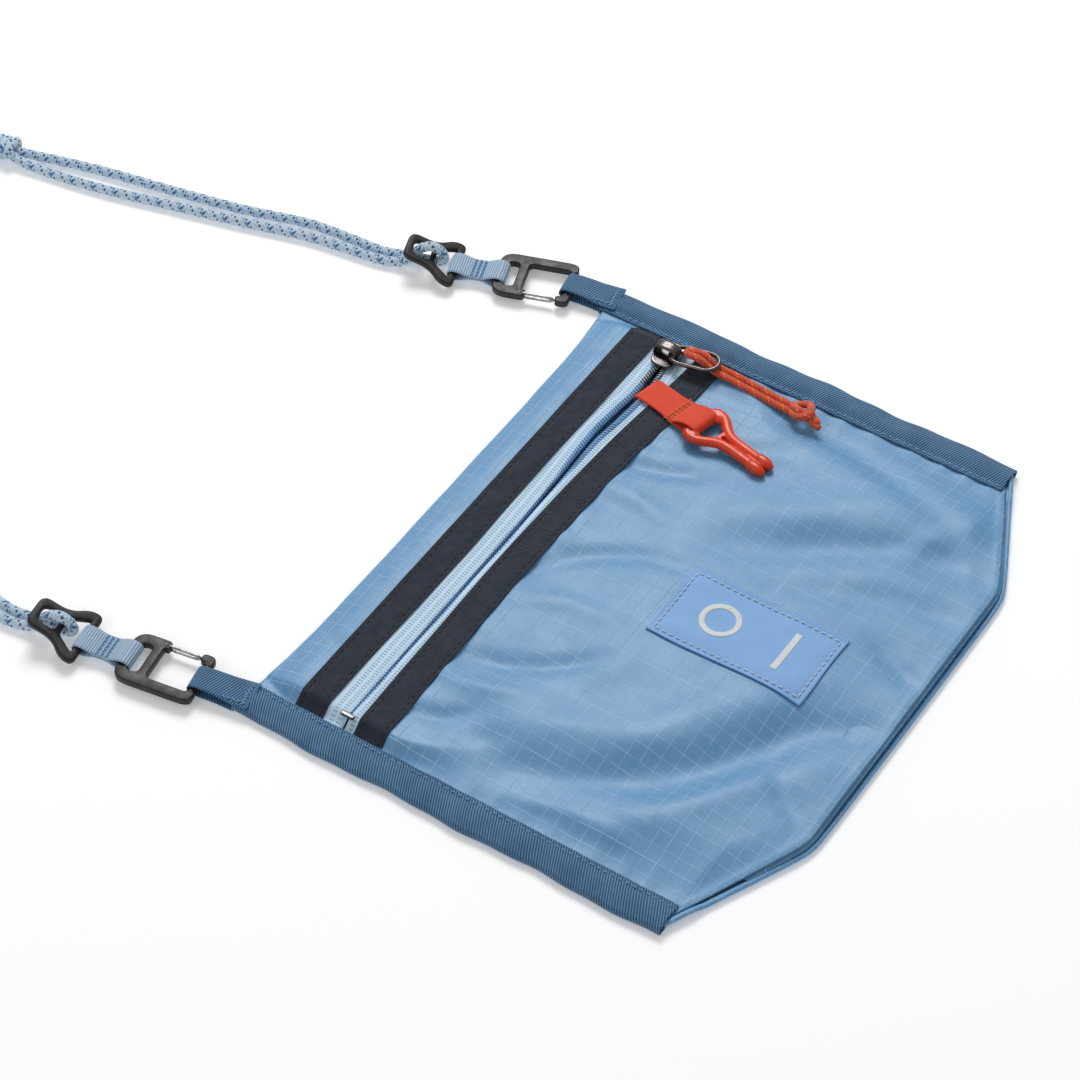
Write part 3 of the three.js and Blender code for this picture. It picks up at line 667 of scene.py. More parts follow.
def braid(name, colours, accents, roughness, pitch):
    """Round braid of two crossing families of strands; accents are (strand step, offset, colour, family)."""
    m = Material(name, colours[0], roughness, Sheen_Weight=0.3, Sheen_Roughness=0.5)
    u, v = m.uv()
    turns = m.math("MULTIPLY", v, BRAID_STRANDS / pitch)
    around = m.math("MULTIPLY", u, float(BRAID_STRANDS))
    strands = [m.math("ADD", around, turns), m.math("SUBTRACT", around, turns)]
    cells = [m.math("FLOOR", strand) for strand in strands]
    over = m.math("FLOORED_MODULO", m.math("ADD", *cells), 2.0)
    shown = [over, m.math("SUBTRACT", 1.0, over)]
    domes = [m.math("SINE", m.math("MULTIPLY", m.math("FRACT", strand), math.pi)) for strand in strands]
    dome = m.math("MULTIPLY", *domes)
    cloth = m.mix(m.noise(1500.0, 2.0), *colours)
    for step, offset, accent, family in accents:
        strand = m.math("FLOORED_MODULO", cells[family], float(step))
        chosen = m.math("COMPARE", strand, float(offset), 0.25)
        cloth = m.mix(m.math("MULTIPLY", chosen, shown[family]), cloth, accent)
    # painted shade: the valleys between the strands, where the domes are low, are darkened
    m.colour(m.mix(m.ramp(dome, 0.2, 0.0, 0.0, 0.4), cloth, shade(colours[0], 0.62)))
    m.bump(dome, 0.0003, 0.8)
    return m.material


def plastic(name, colour, roughness, speckle, depth, coat=0.0):
    """Moulded plastic with a fine grain and slightly paler patches."""
    m = Material(name, colour, roughness, Specular_IOR_Level=0.5, Coat_Weight=coat, Coat_Roughness=0.15)
    m.colour(m.mix(m.ramp(m.noise(90.0, 4.0), 0.35, 0.7), colour, shade(colour, 1.12)))
    m.roughness(260.0, 3.0, roughness - 0.06, roughness + 0.08)
    m.bump(m.noise(speckle, 3.0), depth, 0.5)
    return m.material


def metal(name, colour, roughness):
    """Polished metal with faint scratches and a little tarnish."""
    m = Material(name, colour, roughness, Metallic=1.0)
    m.colour(m.mix(m.ramp(m.noise(500.0, 4.0), 0.4, 0.75), colour, shade(colour, 0.72)))
    m.roughness(900.0, 3.0, roughness - 0.05, roughness + 0.12, (1, 6, 1))
    return m.material


def thread(name, colour):
    """Twisted sewing thread."""
    m = Material(name, colour, 0.6, Sheen_Weight=0.3, Sheen_Roughness=0.4)
    twist = m.noise(3500.0, 2.0)
    m.colour(m.mix(twist, shade(colour, 0.8), shade(colour, 1.1)))
    m.bump(twist, 0.0001, 0.5)
    return m.material


def satin_label():
    """Smooth woven label with very fine ribs."""
    m = Material("satin_label", (132, 180, 236), 0.5, Sheen_Weight=0.2, Sheen_Roughness=0.3)
    u, v = m.uv()
    m.colour(m.mix(m.noise(140.0, 3.0), (126, 175, 233), (142, 188, 240)))
    m.bump(m.math("MULTIPLY_ADD", m.wave(u, 0.0004), 0.5, m.wave(v, 0.0003)), 0.00006, 0.6)
    return m.material


M = {
    "ripstop": ripstop(),
    "binding": twill("binding_twill", (30, 74, 116), (112, 158, 194), 0.62, 0.00095, 0.45, 0.00024),
    "strip": twill("facing_twill", (16, 23, 36), (50, 62, 82), 0.7, 0.00085, -1.0, 0.00016),
    "tape": zip_tape(),
    "coil": plastic("zip_coil_nylon", (126, 166, 208), 0.35, 2500.0, 0.00002),
    "coil_grey": metal("zip_coil_by_slider", (150, 158, 170), 0.35),
    "metal": metal("gunmetal", (104, 98, 97), 0.24),
    "wire": metal("bright_wire", (172, 170, 168), 0.28),
    "black": plastic("black_anodised", (18, 17, 19), 0.46, 1800.0, 0.00002),
    "clip": plastic("orange_plastic", (216, 56, 10), 0.36, 2200.0, 0.00001, coat=0.1),
    "strap": ribbed("orange_webbing", (246, 66, 12), (254, 80, 20), (220, 50, 6), 0.0006, 0.00008),
    "webbing": ribbed("blue_webbing", (176, 206, 232), (214, 232, 247), (128, 164, 200), 0.0009, 0.0002),
    "cord": braid("neck_cord_braid", [(222, 240, 253), (196, 226, 249)],
                  [(4, 0, (48, 88, 140), 0), (8, 3, (112, 166, 216), 0), (8, 5, (96, 150, 204), 1)],
                  0.62, BRAID_PITCH),
    "pull": braid("pull_cord_braid", [(255, 92, 24), (255, 76, 14)],
                  [(8, 0, (30, 116, 140), 0), (8, 4, (255, 170, 120), 0), (8, 5, (255, 60, 20), 1)],
                  0.55, PULL_BRAID_PITCH),
    "label": satin_label(),
    "emblem": thread("emblem_thread", (226, 235, 246)),
    "blue_thread": thread("blue_thread", (120, 170, 214)),
    "black_thread": thread("black_thread", (24, 26, 32)),
    "pale_thread": thread("pale_thread", (212, 228, 232)),
    "orange_thread": thread("orange_thread", (255, 128, 76)),
}


# ---------------------------------------------------------------- camera, light and floor

CAMERA_PLACE = (-0.6622, -0.3842, 0.8765)
CAMERA_AIM = (0.00124, 0.05146, 0.0)
CAMERA_LENS = 116.67
SKY_STRENGTH = 0.36
FLOOR_LEVEL = -0.0002
FLOOR_HALF_SIZE = 4.0


def aimed(name, data, place, aim):
    obj = linked(name, data)
    obj.location = place
    obj.rotation_mode = "QUATERNION"
    obj.rotation_quaternion = (Vector(aim) - Vector(place)).to_track_quat("-Z", "Y")
    return obj


def add_camera():
    data = bpy.data.cameras.new("camera")
    data.sensor_width = 36
    data.lens = CAMERA_LENS
    data.clip_start = 0.05
    data.clip_end = 20
    bpy.context.scene.camera = aimed("camera", data, CAMERA_PLACE, CAMERA_AIM)


def area_light(name, place, size, power):
    data = bpy.data.lights.new(name, "AREA")
    data.shape = "DISK"
    data.size = size
    data.energy = power
    aimed(name, data, place, (0, 0, 0))


def add_studio():
    area_light("back_softbox", (1.05, 0.75, 1.45), 0.9, 21)
    area_light("side_softbox", (-1.4, 0.7, 1.3), 0.9, 3.5)
    world = bpy.data.worlds.new("studio")
    world.use_nodes = True
    sky = world.node_tree.nodes["Background"].inputs
    sky["Color"].default_value = (1, 1, 1, 1)
    sky["Strength"].default_value = SKY_STRENGTH
    bpy.context.scene.world = world
    bpy.context.scene.view_settings.view_transform = "Standard"
    white = Material("floor_white", (0.98, 0.98, 0.98, 1), 0.9, Emission_Color=(1, 1, 1, 1),
                     Emission_Strength=0.22)
    corners = [(x * FLOOR_HALF_SIZE, y * FLOOR_HALF_SIZE, FLOOR_LEVEL)
               for x, y in ((-1, -1), (1, -1), (1, 1), (-1, 1))]
    piece_from("floor", corners, [(0, 1, 2, 3)], white.material)


# ---------------------------------------------------------------- cords

def loop_matrix(name):
    place = Matrix.Translation((SIDES[name]["side"] * LOOP_X, TOP_Y, 0))
    return place @ Matrix.Rotation(SIDES[name]["loop_turn"], 4, "Z")


def strap_frame(name):
    """The local frame of a strap end: origin on its bar, +Y away from the pouch."""
    bar = loop_matrix(name) @ Vector((0, LOOP_REACH, STRAP_LEVEL))
    return Matrix.Translation(bar) @ Matrix.Rotation(SIDES[name]["end_turn"], 4, "Z")


def on_floor(points):
    """The points of a cord, where those given without a height lie on the floor."""
    return [(*point, CORD_LEVEL)[:3] for point in points]


# Cord round the adjuster's cross bar, in a strap end's own frame
ADJUSTER_ROUTE = [
    (-0.0022, 0.07, -0.0011), (-0.0022, 0.066, -0.0011), (-0.0018, 0.062, -0.0002), (-0.001, 0.059, 0.0024),
    (-0.0004, 0.0564, 0.0052), (0.0, 0.0536, 0.0072), (0.0004, 0.0506, 0.0075), (0.0009, 0.048, 0.0052),
    (0.0013, 0.047, 0.002), (0.0017, 0.0486, -0.0006), (0.0021, 0.0525, -0.0011), (0.0022, 0.058, -0.0011),
    (0.0022, 0.066, -0.0011), (0.0022, 0.07, -0.0011),
]
# Both strands of each doubled cord, from the adjuster to the knot
STRANDS = {
    "right": {
        "near": on_floor([(0.0812, 0.186), (0.0786, 0.203), (0.0715, 0.2285), (0.0645, 0.2555),
                          (0.0576, 0.2825), (0.0536, 0.306), (0.0523, 0.3183, 0.0028),
                          (0.053, 0.3225, 0.0036)]),
        "far": on_floor([(0.0862, 0.19), (0.0844, 0.207), (0.077, 0.233), (0.071, 0.2607), (0.0654, 0.289),
                         (0.0602, 0.309), (0.0567, 0.3183, 0.0028), (0.0558, 0.3225, 0.0036)]),
    },
    "left": {
        "near": on_floor([(-0.1262, 0.188), (-0.1225, 0.198), (-0.1176, 0.208), (-0.1146, 0.216, 0.0028),
                          (-0.1138, 0.2205, 0.0036)]),
        "far": on_floor([(-0.1212, 0.188), (-0.1178, 0.1966), (-0.113, 0.2064), (-0.11, 0.216, 0.0028),
                         (-0.1109, 0.2205, 0.0036)]),
    },
}
KNOTS = {"right": (0.0545, 0.3255, 0.004), "left": (-0.1123, 0.2232, 0.004)}
KNOT_WRAPS = 2.6
KNOT_LENGTH = 0.0092
KNOT_HALF_WIDTH = 0.0036
KNOT_HALF_HEIGHT = 0.0021
KNOT_TILT = 0.25
RIGHT_RUN = on_floor([(0.052, 0.328, 0.0036), (0.0488, 0.33, 0.0026), (0.038, 0.3345), (0.016, 0.3315),
                      (-0.008, 0.324), (-0.029, 0.3205)])
LEFT_RUN = on_floor([(-0.0885, 0.305, 0.002), (-0.099, 0.287), (-0.1065, 0.265), (-0.1105, 0.246),
                     (-0.1122, 0.2304, 0.0026), (-0.112, 0.2265, 0.0036)])
# The coil: where its first turn starts, how far it runs on after its last one, and how long it takes to climb
COIL_START = math.radians(82)
COIL_LEAD = math.radians(56)
COIL_CLIMB = math.radians(100)
COIL_LEAD_OUT = 0.0042
COIL_LEAD_DOWN = 0.0022


def coil_route():
    """Turns wound inwards on the floor, then outwards on top of them."""
    route = []
    layer_turn = 2 * math.pi * COIL_TURNS_A_LAYER
    for angle in np.arange(0, 2 * layer_turn + COIL_LEAD + 0.01, math.radians(15)):
        lead = max(0.0, (angle - 2 * layer_turn) / COIL_LEAD)
        if angle <= layer_turn:
            radius = between(COIL_OUTER_TURN, COIL_INNER_TURN, angle / layer_turn)
        else:
            outwards = min(1.0, (angle - layer_turn) / layer_turn)
            radius = between(COIL_INNER_TURN, COIL_OUTER_TURN, outwards) + COIL_LEAD_OUT * lead
        rise = float(smooth((angle - layer_turn + COIL_CLIMB / 2) / COIL_CLIMB))
        height = between(*COIL_LAYERS, rise) - COIL_LEAD_DOWN * float(smooth(lead))
        route.append((COIL_CENTRE[0] + radius * math.cos(COIL_START + angle),
                      COIL_CENTRE[1] + radius * math.sin(COIL_START + angle), height))
    return route


def braid_relief(turn, distance, pitch=BRAID_PITCH, depth=0.00016):
    """The bumps of a braid's strands on a cord's surface."""
    turns, around = distance * BRAID_STRANDS / pitch, turn * BRAID_STRANDS
    first = np.abs(np.sin(np.pi * (around + turns)))
    second = np.abs(np.sin(np.pi * (around - turns)))
    return depth * (first * second - 0.6)


def pull_relief(turn, distance):
    return braid_relief(turn, distance, PULL_BRAID_PITCH, 0.0002)


def add_neck_cord():
    line = relaxed(catmull_rom(RIGHT_RUN + coil_route() + LEFT_RUN, 0.0007), 3)
    cord = tube("neck_cord", line, CORD_RADIUS, M["cord"], relief=braid_relief)
    belongs(cord, "pouch", "cord", "neck_cord_left_run", "neck_cord_right_run", "neck_cord_coil")


def add_strap_cord(name):
    """A doubled length of cord: out of the knot, through the adjuster and back to the knot."""
    near, far = STRANDS[name]["near"], STRANDS[name]["far"]
    bight = moved(ADJUSTER_ROUTE, strap_frame(name)).tolist()
    line = relaxed(catmull_rom(near[::-1] + bight + far, 0.0007), 4)
    cord = tube(f"{name}_cord", line, CORD_RADIUS, M["cord"], relief=braid_relief)
    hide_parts(f"{name}_cord_bight", f"{name}_cord_near_strand", f"{name}_cord_far_strand")
    by_adjuster = strap_frame(name) @ Vector((0, 0.068, 0))
    by_knot = Vector(near[-2]).lerp(by_adjuster, 0.25)
    by_adjuster.z = by_knot.z = 0.002
    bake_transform(cord)
    add_cord_knot(name)


def add_cord_knot(name):
    """Wraps of the cord pulled tight round its strands."""
    near = STRANDS[name]["near"]
    towards = Vector(near[-1]) - Vector(near[-3])
    turns = np.linspace(0, 2 * math.pi * KNOT_WRAPS, 90)
    along = KNOT_LENGTH * (turns / turns[-1] - 0.5)
    wraps = stacked(along, KNOT_HALF_WIDTH * np.cos(turns), KNOT_HALF_HEIGHT * np.sin(turns))
    heading = Matrix.Rotation(math.atan2(towards.y, towards.x), 4, "Z")
    matrix = Matrix.Translation(KNOTS[name]) @ heading @ Matrix.Rotation(KNOT_TILT, 4, "Y")
    line = catmull_rom(moved(wraps[::3], matrix), 0.0008)
    knot = tube(f"{name}_cord_knot_wraps", line, CORD_RADIUS, M["cord"], around=14, relief=braid_relief)
    return belongs(knot, "pouch", "cord", f"{name}_cord_knot")


# Doubled pull cord: from its knot, under the ring's far end, up through the ring, and back
PULL_CORD_ROUTE = [
    (0.0954, 0.007, 0.0073), (0.0962, 0.0095, 0.0073), (0.0968, 0.016, 0.0072), (0.0973, 0.024, 0.0074),
    (0.0976, 0.031, 0.0078), (0.0976, 0.0355, 0.0081), (0.0975, 0.0392, 0.0083), (0.0972, 0.0422, 0.0096),
    (0.0969, 0.0452, 0.0118), (0.0965, 0.0483, 0.0121), (0.0959, 0.0507, 0.0118), (0.0949, 0.0516, 0.0115),
    (0.094, 0.0505, 0.0118), (0.0939, 0.0482, 0.0121), (0.0941, 0.0452, 0.0118), (0.0945, 0.0422, 0.0096),
    (0.0948, 0.0392, 0.0083), (0.0949, 0.0355, 0.0081), (0.0947, 0.031, 0.0079), (0.0943, 0.024, 0.0076),
    (0.0939, 0.016, 0.0073), (0.0936, 0.0095, 0.0073), (0.094, 0.007, 0.0073),
]
PULL_KNOT = (0.0949, 0.0036, 0.0076)
# The knot's turns and its short tail, from the knot's centre
PULL_KNOT_ROUTE = [
    (-0.0006, 0.004, 0.0002), (-0.003, 0.0026, 0.001), (-0.0034, -0.0004, 0.0016), (-0.001, -0.0026, 0.0022),
    (0.0022, -0.0016, 0.002), (0.004, 0.001, 0.0006), (0.003, 0.004, -0.0004), (0.0004, 0.0046, 0.0012),
    (-0.0016, 0.0016, 0.0026), (-0.0012, -0.0016, 0.0006), (-0.0018, -0.0048, -0.0006),
    (-0.0024, -0.0068, -0.0006),
]
PULL_TAIL_ROUTE = [(0.0012, -0.001, 0.0008), (0.0, -0.0036, 0.0006), (-0.0014, -0.006, 0.0004)]


def add_pull_cord():
    line = relaxed(catmull_rom(PULL_CORD_ROUTE, 0.0005), 3)
    cord = tube("zip_pull_cord", line, PULL_CORD_RADIUS, M["pull"], around=14, relief=pull_relief)
    belongs(cord, "zip_pull", "cord_orange", "pull_cord")
    knot_line, tail_line = (catmull_rom(np.array(route) + np.array(PULL_KNOT), 0.0005)
                            for route in (PULL_KNOT_ROUTE, PULL_TAIL_ROUTE))
    knot = tube("zip_pull_knot", knot_line, PULL_CORD_RADIUS * 1.08, M["pull"], around=14, relief=pull_relief)
    belongs(knot, "zip_pull", "cord_orange", "pull_cord_knot")
    tail = tube("zip_pull_tail", tail_line, PULL_CORD_RADIUS, M["pull"], around=12, relief=pull_relief)
    belongs(tail, "zip_pull", "cord_orange")


# ---------------------------------------------------------------- panels

# How far the lower strip lies above its straight place, and where the two edges of the mouth lie
lower_shift = curve_through([(-0.113, 0.003), (-0.06, 0.0039), (-0.014, 0.0044), (0.044, 0.0027),
                             (0.091, -0.0011), (0.113, -0.002)])
MOUTHS = {
    "lower": curve_through([(-0.113, 0.058), (-0.06, 0.0577), (0.0, 0.0577), (0.03, 0.0578),
                            (0.046, 0.0576), (0.06, 0.0563), (0.073, 0.0556), (0.084, 0.0562),
                            (0.0937, 0.0572), (0.113, 0.0582)]),
    "upper": curve_through([(-0.113, 0.0586), (-0.06, 0.059), (0.0, 0.0594), (0.03, 0.0604),
                            (0.0496, 0.0612), (0.062, 0.0604), (0.072, 0.0594), (0.079, 0.0594),
                            (0.09, 0.0598), (0.113, 0.059)]),
}

FRONT_FOLD_DEPTH = 1.45
CORNER_SOFTNESS = 0.004

# Folds of the front panel: the line each one follows, its half width and its height (below 0 for a valley)
FRONT_FOLDS = [
    ([(-0.086, 0.026), (-0.085, -0.002), (-0.078, -0.022), (-0.062, -0.043), (-0.04, -0.058),
      (-0.018, -0.075), (-0.012, -0.096)], 0.0085, -0.0026),
    ([(-0.07, 0.012), (-0.064, -0.012), (-0.05, -0.03), (-0.028, -0.044), (-0.004, -0.06)], 0.009, 0.0011),
    ([(-0.094, -0.03), (-0.08, -0.048), (-0.058, -0.062), (-0.036, -0.078)], 0.007, 0.001),
    ([(0.026, -0.004), (0.036, -0.02), (0.05, -0.04), (0.062, -0.066), (0.066, -0.09)], 0.0075, -0.0017),
    ([(0.04, 0.004), (0.054, -0.018), (0.07, -0.04), (0.082, -0.062)], 0.008, 0.001),
    ([(0.092, 0.01), (0.091, -0.016), (0.084, -0.044), (0.074, -0.074)], 0.006, -0.0012),
    ([(0.022, -0.03), (0.03, -0.046), (0.04, -0.07), (0.042, -0.092)], 0.006, -0.0011),
    ([(-0.017, 0.046), (0.001, 0.031), (0.01, 0.014), (0.012, 0.0)], 0.0045, -0.0011),
    ([(-0.03, 0.044), (-0.022, 0.026), (-0.02, 0.006)], 0.005, 0.0008),
    ([(-0.058, 0.046), (-0.055, 0.03), (-0.047, 0.014), (-0.036, 0.002)], 0.0042, -0.0012),
    ([(-0.069, 0.046), (-0.067, 0.03), (-0.062, 0.016)], 0.0038, 0.0008),
    ([(-0.088, 0.046), (-0.084, 0.034), (-0.074, 0.022)], 0.0036, -0.0009),
    ([(0.043, 0.044), (0.046, 0.032), (0.052, 0.018)], 0.004, -0.001),
    ([(0.03, 0.045), (0.03, 0.03), (0.026, 0.016)], 0.0042, 0.0007),
    ([(0.062, 0.03), (0.072, 0.008), (0.078, -0.008)], 0.006, -0.0007),
    ([(-0.1, 0.0), (-0.094, -0.02), (-0.094, -0.046)], 0.0034, 0.0006),
    ([(0.0945, 0.038), (0.0945, 0.004)], 0.005, 0.0012),
    ([(-0.06, -0.09), (-0.05, -0.074), (-0.034, -0.062)], 0.005, -0.0009),
    ([(0.01, -0.096), (0.014, -0.08), (0.02, -0.068)], 0.0045, -0.0009),
    ([(0.09, -0.078), (0.074, -0.064), (0.054, -0.056)], 0.005, 0.0008),
]
TOP_FOLDS = [
    ([(-0.08, 0.074), (-0.076, 0.084)], 0.004, -0.0007),
    ([(-0.04, 0.074), (-0.044, 0.084)], 0.005, 0.0005),
    ([(0.01, 0.074), (0.006, 0.085)], 0.005, -0.0006),
    ([(0.055, 0.074), (0.06, 0.085)], 0.0045, 0.0005),
    ([(0.088, 0.074), (0.084, 0.084)], 0.004, -0.0006),
]
BACK_FOLDS = [
    ([(-0.09, 0.06), (-0.04, 0.02), (0.01, -0.03), (0.04, -0.08)], 0.007, 0.0004),
    ([(0.095, 0.05), (0.06, 0.0), (0.03, -0.06)], 0.006, 0.0004),
    ([(-0.095, -0.02), (-0.05, -0.05), (-0.01, -0.08)], 0.005, 0.0004),
    ([(-0.02, 0.086), (0.0, 0.04), (0.04, 0.01)], 0.006, 0.0003),
]


def fold_shape(x, y, points, width):
    """1 on a fold's line, fading beside it and towards its ends."""
    line = catmull_rom([(px, py, 0.0) for px, py in points], 0.004)
    nearest = np.full(x.shape, np.inf)
    share = np.zeros(x.shape)
    for k, (a, b) in enumerate(zip(line, line[1:])):
        ahead = b - a
        t = np.clip(((x - a[0]) * ahead[0] + (y - a[1]) * ahead[1]) / (ahead @ ahead), 0, 1)
        away = np.hypot(x - a[0] - t * ahead[0], y - a[1] - t * ahead[1])
        share = np.where(away < nearest, (k + t) / (len(line) - 1), share)
        nearest = np.minimum(nearest, away)
    return np.exp(-(nearest / width) ** 2) * np.sqrt(np.sin(np.pi * (0.04 + 0.92 * share)))


def folds(x, y, shapes, depth=1.0):
    return depth * sum(height * fold_shape(x, y, points, width) for points, width, height in shapes)


def ripples(x, y, size=0.00016):
    """Slight unevenness all over a slack panel."""
    long_wave = np.sin(x / 0.0061 + 2.1 * np.sin(y / 0.019))
    long_wave = long_wave + np.sin(y / 0.0073 + 1.7 * np.sin(x / 0.023) + 1.2)
    short_wave = np.sin((x + y) / 0.0034 + 1.4 * np.sin(x / 0.011)) * np.sin((x - 0.7 * y) / 0.0085)
    return size * (long_wave + 0.7 * short_wave)


def zip_level(x):
    return between(SIDE_LEVEL, ZIP_LEVEL, smooth((RAMP_OUTER - np.abs(x)) / (RAMP_OUTER - RAMP_INNER)))


def chamfer_share(y):
    """0 above the cut corners and 1 at the bottom edge."""
    return np.maximum(0, (CHAMFER_Y - y) / (CHAMFER_Y - BOTTOM_Y))


def half_width_at(y):
    return between(PANEL_HALF_WIDTH, CHAMFER_HALF_WIDTH, chamfer_share(y))


def front_level(x, y):
    """Height of the front panel's lower face before it is creased."""
    below = chamfer_share(y)
    side_level = SIDE_LEVEL + 0.002 * below
    crown = ZIP_LEVEL + 0.0016 * smooth((0.038 - y) / 0.04) - 0.0022 * smooth((-0.04 - y) / 0.053)
    ramp = RAMP_OUTER - RAMP_INNER + 0.02 * smooth((0.04 - y) / 0.04)
    inset = (PANEL_HALF_WIDTH - RAMP_OUTER) * (1 - below)
    distance = half_width_at(y) - inset - np.abs(x)
    return between(side_level, crown, smooth(distance / ramp))


def top_edge(x):
    return PANEL_TOP_Y - TOP_EDGE_DIP * (1 - np.minimum(1, np.abs(x) / RAMP_OUTER) ** 6)


def bottom_edge(x):
    past_corner = np.abs(x) - CHAMFER_HALF_WIDTH
    beyond = (np.sqrt(past_corner ** 2 + CORNER_SOFTNESS ** 2) + past_corner) / 2
    return BOTTOM_Y + beyond * (CHAMFER_Y - BOTTOM_Y) / (PANEL_HALF_WIDTH - CHAMFER_HALF_WIDTH)


def slack(x, y):
    """How freely the front panel may crease: nothing at its seams, everything in the middle."""
    from_side = smooth((RAMP_OUTER - np.abs(x)) / 0.01)
    from_strip = smooth((0.044 + lower_shift(x) - y) / 0.006)
    from_bottom = 0.35 + 0.65 * smooth((y - bottom_edge(x)) / 0.012)
    return from_side * from_strip * from_bottom


def puckers(x, y):
    """Small gathers beside the seams of the front panel."""
    beside_binding = np.exp(-((RAMP_OUTER - np.abs(x)) / 0.006) ** 2)
    beside_strip = np.exp(-((0.04 + lower_shift(x) - y) / 0.005) ** 2)
    along_side = np.sin(y / 0.0019 + 1.3 * np.sin(y / 0.0083))
    along_strip = np.sin(x / 0.0023 + 1.5 * np.sin(x / 0.0097))
    return 0.00022 * along_side * beside_binding + 0.0002 * along_strip * beside_strip


def front_surface(x, y):
    x, y = np.broadcast_arrays(np.asarray(x, float), np.asarray(y, float))
    creases = (folds(x, y, FRONT_FOLDS, FRONT_FOLD_DEPTH) + ripples(x, y)) * slack(x, y)
    return front_level(x, y) + FABRIC + creases + puckers(x, y)


FRONT_EDGE_INSET = 0.0022
UNDER_STRIP = 0.005
HEM_STEP = 0.001
# How far each row of a turned edge lies from the edge, and how far from the first row's height
FRONT_HEM = [(0.004, 0.0013), (0.0016, 0.0011), (0.0006, 0.0008), (0.0002, 0.0004)]
TOP_HEM = [(0.0005, 0.0003), (0.0008, 0.0009), (0.0005, 0.0014)]
BACK_HEM = [(0.0016, 0.0006), (0.0005, 0.0004), (0.0001, 0.0002)]


def panel_grid(columns, rows, low, high):
    """x across a panel, and the x and y of its grid between two edges."""
    x = np.linspace(-PANEL_HALF_WIDTH, PANEL_HALF_WIDTH, columns)
    y = between(low(x), high(x), np.linspace(0, 1, rows)[:, None])
    return x, np.broadcast_to(x, y.shape), y


def ripstop_panel(name, x, y, z, below, above, node):
    """A panel of ripstop: its grid of heights, and the rows of points turned under its edges."""
    middle = stacked(x, y, z)
    grid = np.concatenate([np.reshape(part, (-1, len(x), 3)) for part in (below, middle, above)])
    uv_y = np.concatenate([y[0] - HEM_STEP * np.arange(len(below), 0, -1)[:, None], y,
                           y[-1] + HEM_STEP * np.arange(1, len(above) + 1)[:, None]])
    panel = shell(name, grid, stacked(x, uv_y), CLOTH, M["ripstop"])
    return belongs(panel, "pouch", "ripstop", node)


def add_front_panel():
    x, columns, y = panel_grid(300, 190, lambda x: bottom_edge(x) + FRONT_EDGE_INSET,
                               lambda x: ZIP_Y - STRIP_OUTER + UNDER_STRIP + lower_shift(x))
    lip = smooth((0.004 - (y - y[0])) / 0.004)
    z = front_surface(columns, y) + 0.0004 * lip - 0.0006 * lip ** 3
    hem = [stacked(x, y[0] + inward, z[0] - down) for inward, down in FRONT_HEM]
    panel = ripstop_panel("front_panel_cloth", x, y, z, hem, [], "front_panel")


def add_front_top_panel():
    x, columns, y = panel_grid(260, 34, lambda x: ZIP_Y + STRIP_OUTER - UNDER_STRIP, top_edge)
    close = smooth((y - 0.08) / (PANEL_TOP_Y - 0.08)) * (ZIP_LEVEL - 0.0022)
    free = smooth((RAMP_OUTER - np.abs(columns)) / 0.008) * smooth((y - 0.074) / 0.004)
    creases = (folds(columns, y, TOP_FOLDS) + ripples(columns, y, 0.0001)) * free
    z = np.maximum(SIDE_LEVEL, zip_level(columns) - close) + FABRIC + creases
    turned = [stacked(x, y[-1] + out, z[-1] - down) for out, down in TOP_HEM]
    panel = ripstop_panel("front_top_cloth", x, y, z, [], turned, "front_top_panel")


def add_back_panel():
    x, columns, y = panel_grid(220, 150, lambda x: bottom_edge(x) - 0.0002, top_edge)
    low, high = y[0], y[-1]
    rise = 0.0009 * smooth((np.abs(columns) - RAMP_INNER) / (RAMP_OUTER - RAMP_INNER))
    edge_lift = 0.0006 * smooth((0.004 - (y - low)) / 0.004) + 0.0003 * smooth((0.003 - (high - y)) / 0.003)
    free = smooth((RAMP_INNER - np.abs(columns)) / 0.01) * smooth((y - low - 0.004) / 0.01)
    creases = (folds(columns, y, BACK_FOLDS) + ripples(columns, y, 0.00003)) * free
    z = FABRIC + 0.0001 + rise + edge_lift + creases
    hem = [stacked(x, low + inward, z[0] + up) for inward, up in BACK_HEM]
    panel = ripstop_panel("back_panel_cloth", x, y, z, hem, [], "back_panel")


GUSSET_HALF_LENGTH = 0.084
GUSSET_DEPTH = 0.014


def add_gusset():
    """The bottom folded inwards between the two panels."""
    x = np.linspace(-GUSSET_HALF_LENGTH, GUSSET_HALF_LENGTH, 200)
    edge = bottom_edge(x) + 0.0012
    upper = front_level(x, edge) - 0.0011
    side_lift = 0.0009 * (edge - BOTTOM_Y) / (CHAMFER_Y - BOTTOM_Y)
    lower = side_lift + FABRIC + 0.001
    depth = GUSSET_DEPTH * (1 - 0.7 * smooth((np.abs(x) - CHAMFER_HALF_WIDTH) / 0.033))
    rows, uv_rows = [], []
    for t in np.linspace(0, 1, 24):
        inward = math.sin(math.pi * t) ** 0.8
        rows.append(stacked(x, edge + depth * inward, between(lower, upper, smooth(t))))
        uv_rows.append(edge + 2 * depth * t)
    gusset = shell("gusset_cloth", np.array(rows), stacked(x, np.array(uv_rows)), CLOTH, M["ripstop"])
    belongs(gusset, "pouch", "ripstop", "bottom_gusset")


# ---------------------------------------------------------------- label

LABEL_X = (-0.018, 0.014)
LABEL_Y = (-0.061, -0.0025)
LABEL_LIFT = 0.0006
LABEL_SEAM_INSET = 0.002
EMBLEM_CENTRE = (-0.002, -0.0215)
EMBLEM_RADIUS = 0.0062
EMBLEM_BAND = 0.0011
EMBLEM_BAR_Y = -0.0465
EMBLEM_BAR_HALF_LENGTH = 0.009
EMBLEM_BAR_HALF_WIDTH = 0.0012
EMBLEM_THICKNESS = 0.00015


def label_surface(x, y):
    return front_surface(x, y) + LABEL_LIFT


